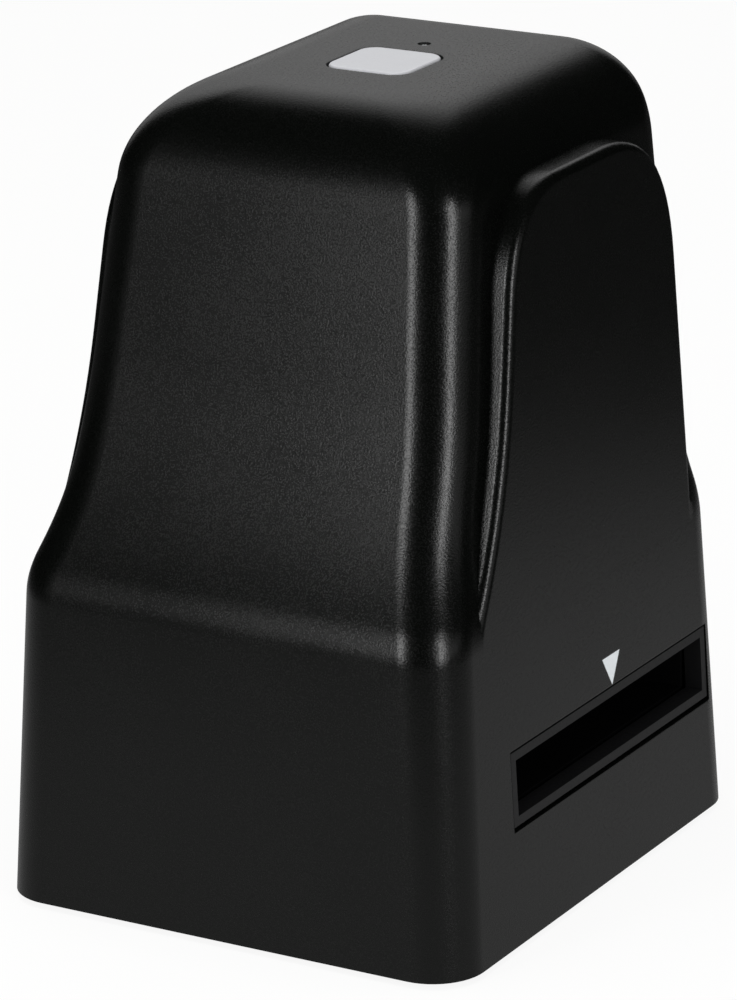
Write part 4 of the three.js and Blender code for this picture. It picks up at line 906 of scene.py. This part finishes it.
# %% Copies with moulded edges
def edged_copy(node, name, width):
    """A copy of a solid part with its sharp edges rounded by a width in millimetres."""
    only(frame["nodes"][node])
    bpy.ops.object.duplicate()
    piece = bpy.context.object
    open_mesh(piece)
    bpy.ops.mesh.select_all(action="SELECT")
    bpy.ops.mesh.remove_doubles(threshold=HAIR * MM)
    bpy.ops.mesh.dissolve_limited(angle_limit=math.radians(1))
    bpy.ops.object.mode_set(mode="OBJECT")
    # the copy is no solid part any more, so the marks of one come off
    for key in [key for key in piece.keys() if key.startswith("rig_")]:
        del piece[key]
    apply(piece, "BEVEL", width=width * MM, segments=2, limit_method="ANGLE",
          angle_limit=math.radians(40), use_clamp_overlap=True, harden_normals=False)
    smooth(piece)
    settle(piece, name, node)


for side in ("right", "left"):
    edged_copy(f"slot_bezel_{side}", f"bezel_{side}", 0.2)
edged_copy("film_gate_lower", "gate_channel", 0.2)
edged_copy("film_gate_upper", "gate_lid", 0.2)
edged_copy("usb_socket", "usb_shell", 0.12)

# %% [markdown]
# # The scan button
# A cap with a flange that keeps it in the hood, and a post that reaches the switch. It starts as a
# box. Its upright edges are beveled to the corner radius and its top rim to a soft edge, it is
# hollowed from below by an inset and an extrude, and the flange is extruded outwards.

# %% Scan button
CAP, CAP_CORNER, CAP_EDGE, CAP_WALL, CAP_HOLLOW = 8.0, 3.4, 0.55, 2.6, 2.2
CAP_TOP, SKIRT, FLANGE = cap_high.z - 0.12, cap_high.z - 4.0, cap_high.z - 3.0
FLANGE_OUT, POST = 1.4, 2.0
button = start_box(-CAP, CAP, BUTTON_Y - CAP, BUTTON_Y + CAP, SKIRT, CAP_TOP)
open_mesh(button)
pick_edges(button, lambda a, b: abs(a.z - b.z) > 1)
bpy.ops.mesh.bevel(offset=CAP_CORNER * MM, segments=14)
pick_edges(button, lambda a, b: near(a.z, CAP_TOP) and near(b.z, CAP_TOP))
bpy.ops.mesh.bevel(offset=CAP_EDGE * MM, segments=5)
bpy.ops.mesh.select_all(action="SELECT")
bpy.ops.mesh.bisect(plane_co=(0, 0, FLANGE * MM), plane_no=(0, 0, 1))
bpy.ops.mesh.select_mode(type="FACE")
pick_faces(button, lambda middle, normal: middle.z < FLANGE and abs(normal.z) < 0.5)
bpy.ops.mesh.extrude_region_shrink_fatten(
    TRANSFORM_OT_shrink_fatten={"value": FLANGE_OUT * MM, "use_even_offset": True})
pick_faces(button, lambda middle, normal: normal.z < -0.9 and middle.z < SKIRT + 0.1)
bpy.ops.mesh.dissolve_faces()
pick_faces(button, lambda middle, normal: normal.z < -0.9 and middle.z < SKIRT + 0.1)
bpy.ops.mesh.inset(thickness=CAP_WALL * MM)
bpy.ops.mesh.extrude_region_move(TRANSFORM_OT_translate={"value": (0, 0, CAP_HOLLOW * MM)})
bpy.ops.object.mode_set(mode="OBJECT")
cut_with(button, start_rod(POST, 0, BUTTON_Y, cap_low.z, cap_high.z - 1), "UNION")
smooth(button, 35)
settle(button, "button_cap", "scan_button", body="button")

# %% [markdown]
# # The status light
# Behind the button a pinhole shows the domed end of a clear pipe that carries the light up from a
# lamp on the switch board. It starts as a rod whose top rim is beveled into a dome, and its
# collar, which rests under the roof, is an extruded band.

# %% Light pipe
PIPE, DOME, COLLAR_OUT = 0.95, 0.55, 1.05
COLLAR_TOP = HOOD_TOP - WALL - 0.05
COLLAR_BOTTOM = COLLAR_TOP - 0.8
pipe = start_rod(PIPE, 0, LIGHT_Y, light_low.z, light_high.z, 32)
open_mesh(pipe)
for z in (COLLAR_BOTTOM, COLLAR_TOP):
    bpy.ops.mesh.select_all(action="SELECT")
    bpy.ops.mesh.bisect(plane_co=(0, 0, z * MM), plane_no=(0, 0, 1))
bpy.ops.mesh.select_mode(type="FACE")
pick_faces(
    pipe, lambda middle, normal: COLLAR_BOTTOM < middle.z < COLLAR_TOP and abs(normal.z) < 0.5)
bpy.ops.mesh.extrude_region_shrink_fatten(
    TRANSFORM_OT_shrink_fatten={"value": COLLAR_OUT * MM, "use_even_offset": True})
bpy.ops.mesh.select_mode(type="EDGE")
pick_edges(pipe, lambda a, b: near(a.z, light_high.z) and near(b.z, light_high.z))
bpy.ops.mesh.bevel(offset=DOME * MM, segments=5)
bpy.ops.object.mode_set(mode="OBJECT")
smooth(pipe, 40)
settle(pipe, "status_light_pipe", "light_pipe")

# %% [markdown]
# # The arrow above the slot
# A small white triangle is pad-printed on the side and points down at the slot. Ink stands only a
# few hundredths of a millimetre proud. It starts as a very thin box. In each of its two layers the
# lower corners are merged into the tip, and the tips are moved out onto the leaning side.

# %% White ink
def white_ink():
    material, tree = new_material("white_pad_print_ink")
    place = add(tree, "ShaderNodeTexCoord").outputs["Object"]
    spots = add(tree, "ShaderNodeTexNoise", {"Vector": place, "Scale": per_mm(0.5), "Detail": 3.0})
    colour = blend_colours(tree, spots.outputs["Fac"], "#d5dade", "#e2e6e9")
    rough = ramp(tree, spots.outputs["Fac"], 0.3, 0.7, 0.5, 0.65)
    shader = add(tree, "ShaderNodeBsdfPrincipled", {"Base Color": colour, "Roughness": rough})
    finish_material(tree, shader)
    return material


ink = white_ink()
print("made", ink.name)

# %% Printed arrow
ARROW_TIP, ARROW_TOP, ARROW_LEFT, ARROW_RIGHT = 36.1, 41.6, 4.0, 10.4
INK_UNDER, INK_PROUD = half_width_at(ARROW_TOP) - 0.01, half_width_at(ARROW_TOP) + 0.03
arrow = start_box(INK_UNDER, INK_PROUD, ARROW_LEFT, ARROW_RIGHT, ARROW_TIP, ARROW_TOP)
open_mesh(arrow, "VERT")


def pick_tip(test):
    """Select the lower points whose place along X, in millimetres, passes the test."""
    mesh = bmesh.from_edit_mesh(arrow.data)
    for vertex in mesh.verts:
        vertex.select_set(test(vertex.co.x / MM) and vertex.co.z / MM < ARROW_TOP - 1)
    bmesh.update_edit_mesh(arrow.data)


for layer in (INK_UNDER, INK_PROUD):
    pick_tip(lambda x: abs(x - layer) < 0.005)
    bpy.ops.mesh.merge(type="CENTER")
pick_tip(lambda x: True)
bpy.ops.transform.translate(value=(SIDE_DRAFT * (ARROW_TOP - ARROW_TIP) * MM, 0, 0))
bpy.ops.object.mode_set(mode="OBJECT")
arrow.name = arrow.data.name = "slot_arrow_print"
arrow.data.materials.append(ink)
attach(arrow, "housing")
print("arrow at", [round(v / MM, 2) for v in arrow.bound_box[0]])

# %% [markdown]
# # Underneath: base plate, feet and screws
# The base plate is a bevelled copy of its solid. The feet are rubber discs with a rolled edge and
# a shallow dish. Screws have a domed head and a cross recess, cut by two crossed bars.

# %% Base plate and a helper for the four corners
edged_copy("base_plate", "base_pan", 0.3)


def four_copies(first, kind, name):
    """Copy a piece from the rear right corner to the other corners, each with its own mesh."""
    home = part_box(f"{kind}_rear_right")[0]
    copies = {"rear_right": first}
    for corner in ("rear_left", "front_left", "front_right"):
        only(first)
        bpy.ops.object.duplicate()
        copies[corner] = bpy.context.object
        bpy.ops.transform.translate(value=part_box(f"{kind}_{corner}")[0] - home)
        bpy.ops.object.transform_apply(location=True, rotation=True, scale=True)
    for corner, piece in copies.items():
        settle(piece, f"{name}_{corner}", f"{kind}_{corner}")


# %% Rubber feet
FOOT, FOOT_EDGE, FOOT_RIM, DISH_SLOPE, DISH_DEEP = 4.5, 0.5, 0.9, 0.4, 0.2
foot_low, foot_high = span("foot_rear_right")
x, y = (foot_low.x + foot_high.x) / 2, (foot_low.y + foot_high.y) / 2
foot = start_rod(FOOT, x, y, 0, foot_high.z)
open_mesh(foot)
pick_edges(foot, lambda a, b: near(a.z, 0) and near(b.z, 0))
bpy.ops.mesh.bevel(offset=FOOT_EDGE * MM, segments=4)
bpy.ops.mesh.select_mode(type="FACE")
pick_faces(foot, lambda middle, normal: normal.z < -0.99)
bpy.ops.mesh.inset(thickness=FOOT_RIM * MM)
bpy.ops.mesh.inset(thickness=DISH_SLOPE * MM, depth=-DISH_DEEP * MM)
bpy.ops.object.mode_set(mode="OBJECT")
smooth(foot, 50)
four_copies(foot, "foot", "rubber_foot")

# %% Hood screws
HEAD, HEAD_HIGH, HEAD_DOME, THREAD = 2.6, 1.8, 0.9, 1.4
CROSS_LONG, CROSS_WIDE, CROSS_DEEP = 3.2, 0.7, 0.9
screw_low, screw_high = span("hood_screw_rear_right")
x, y = (screw_low.x + screw_high.x) / 2, (screw_low.y + screw_high.y) / 2
low, high = screw_low.z, screw_high.z
head = start_rod(HEAD, x, y, low, low + HEAD_HIGH)
open_mesh(head)
pick_edges(head, lambda a, b: near(a.z, low) and near(b.z, low))
bpy.ops.mesh.bevel(offset=HEAD_DOME * MM, segments=5)
bpy.ops.object.mode_set(mode="OBJECT")
cut_with(head, start_rod(THREAD, x, y, low + 1.2, high - 0.4, 24), "UNION")
for across, along in ((CROSS_LONG, CROSS_WIDE), (CROSS_WIDE, CROSS_LONG)):
    cut_with(head, start_box(
        x - across / 2, x + across / 2, y - along / 2, y + along / 2, low - 1, low + CROSS_DEEP))
smooth(head, 35)
four_copies(head, "hood_screw", "cross_screw")

# %% [markdown]
# # Nothing left selected
# The last step leaves the scene with nothing selected.

# %% Nothing selected
only(floor)
floor.select_set(False)
bpy.context.view_layer.update()
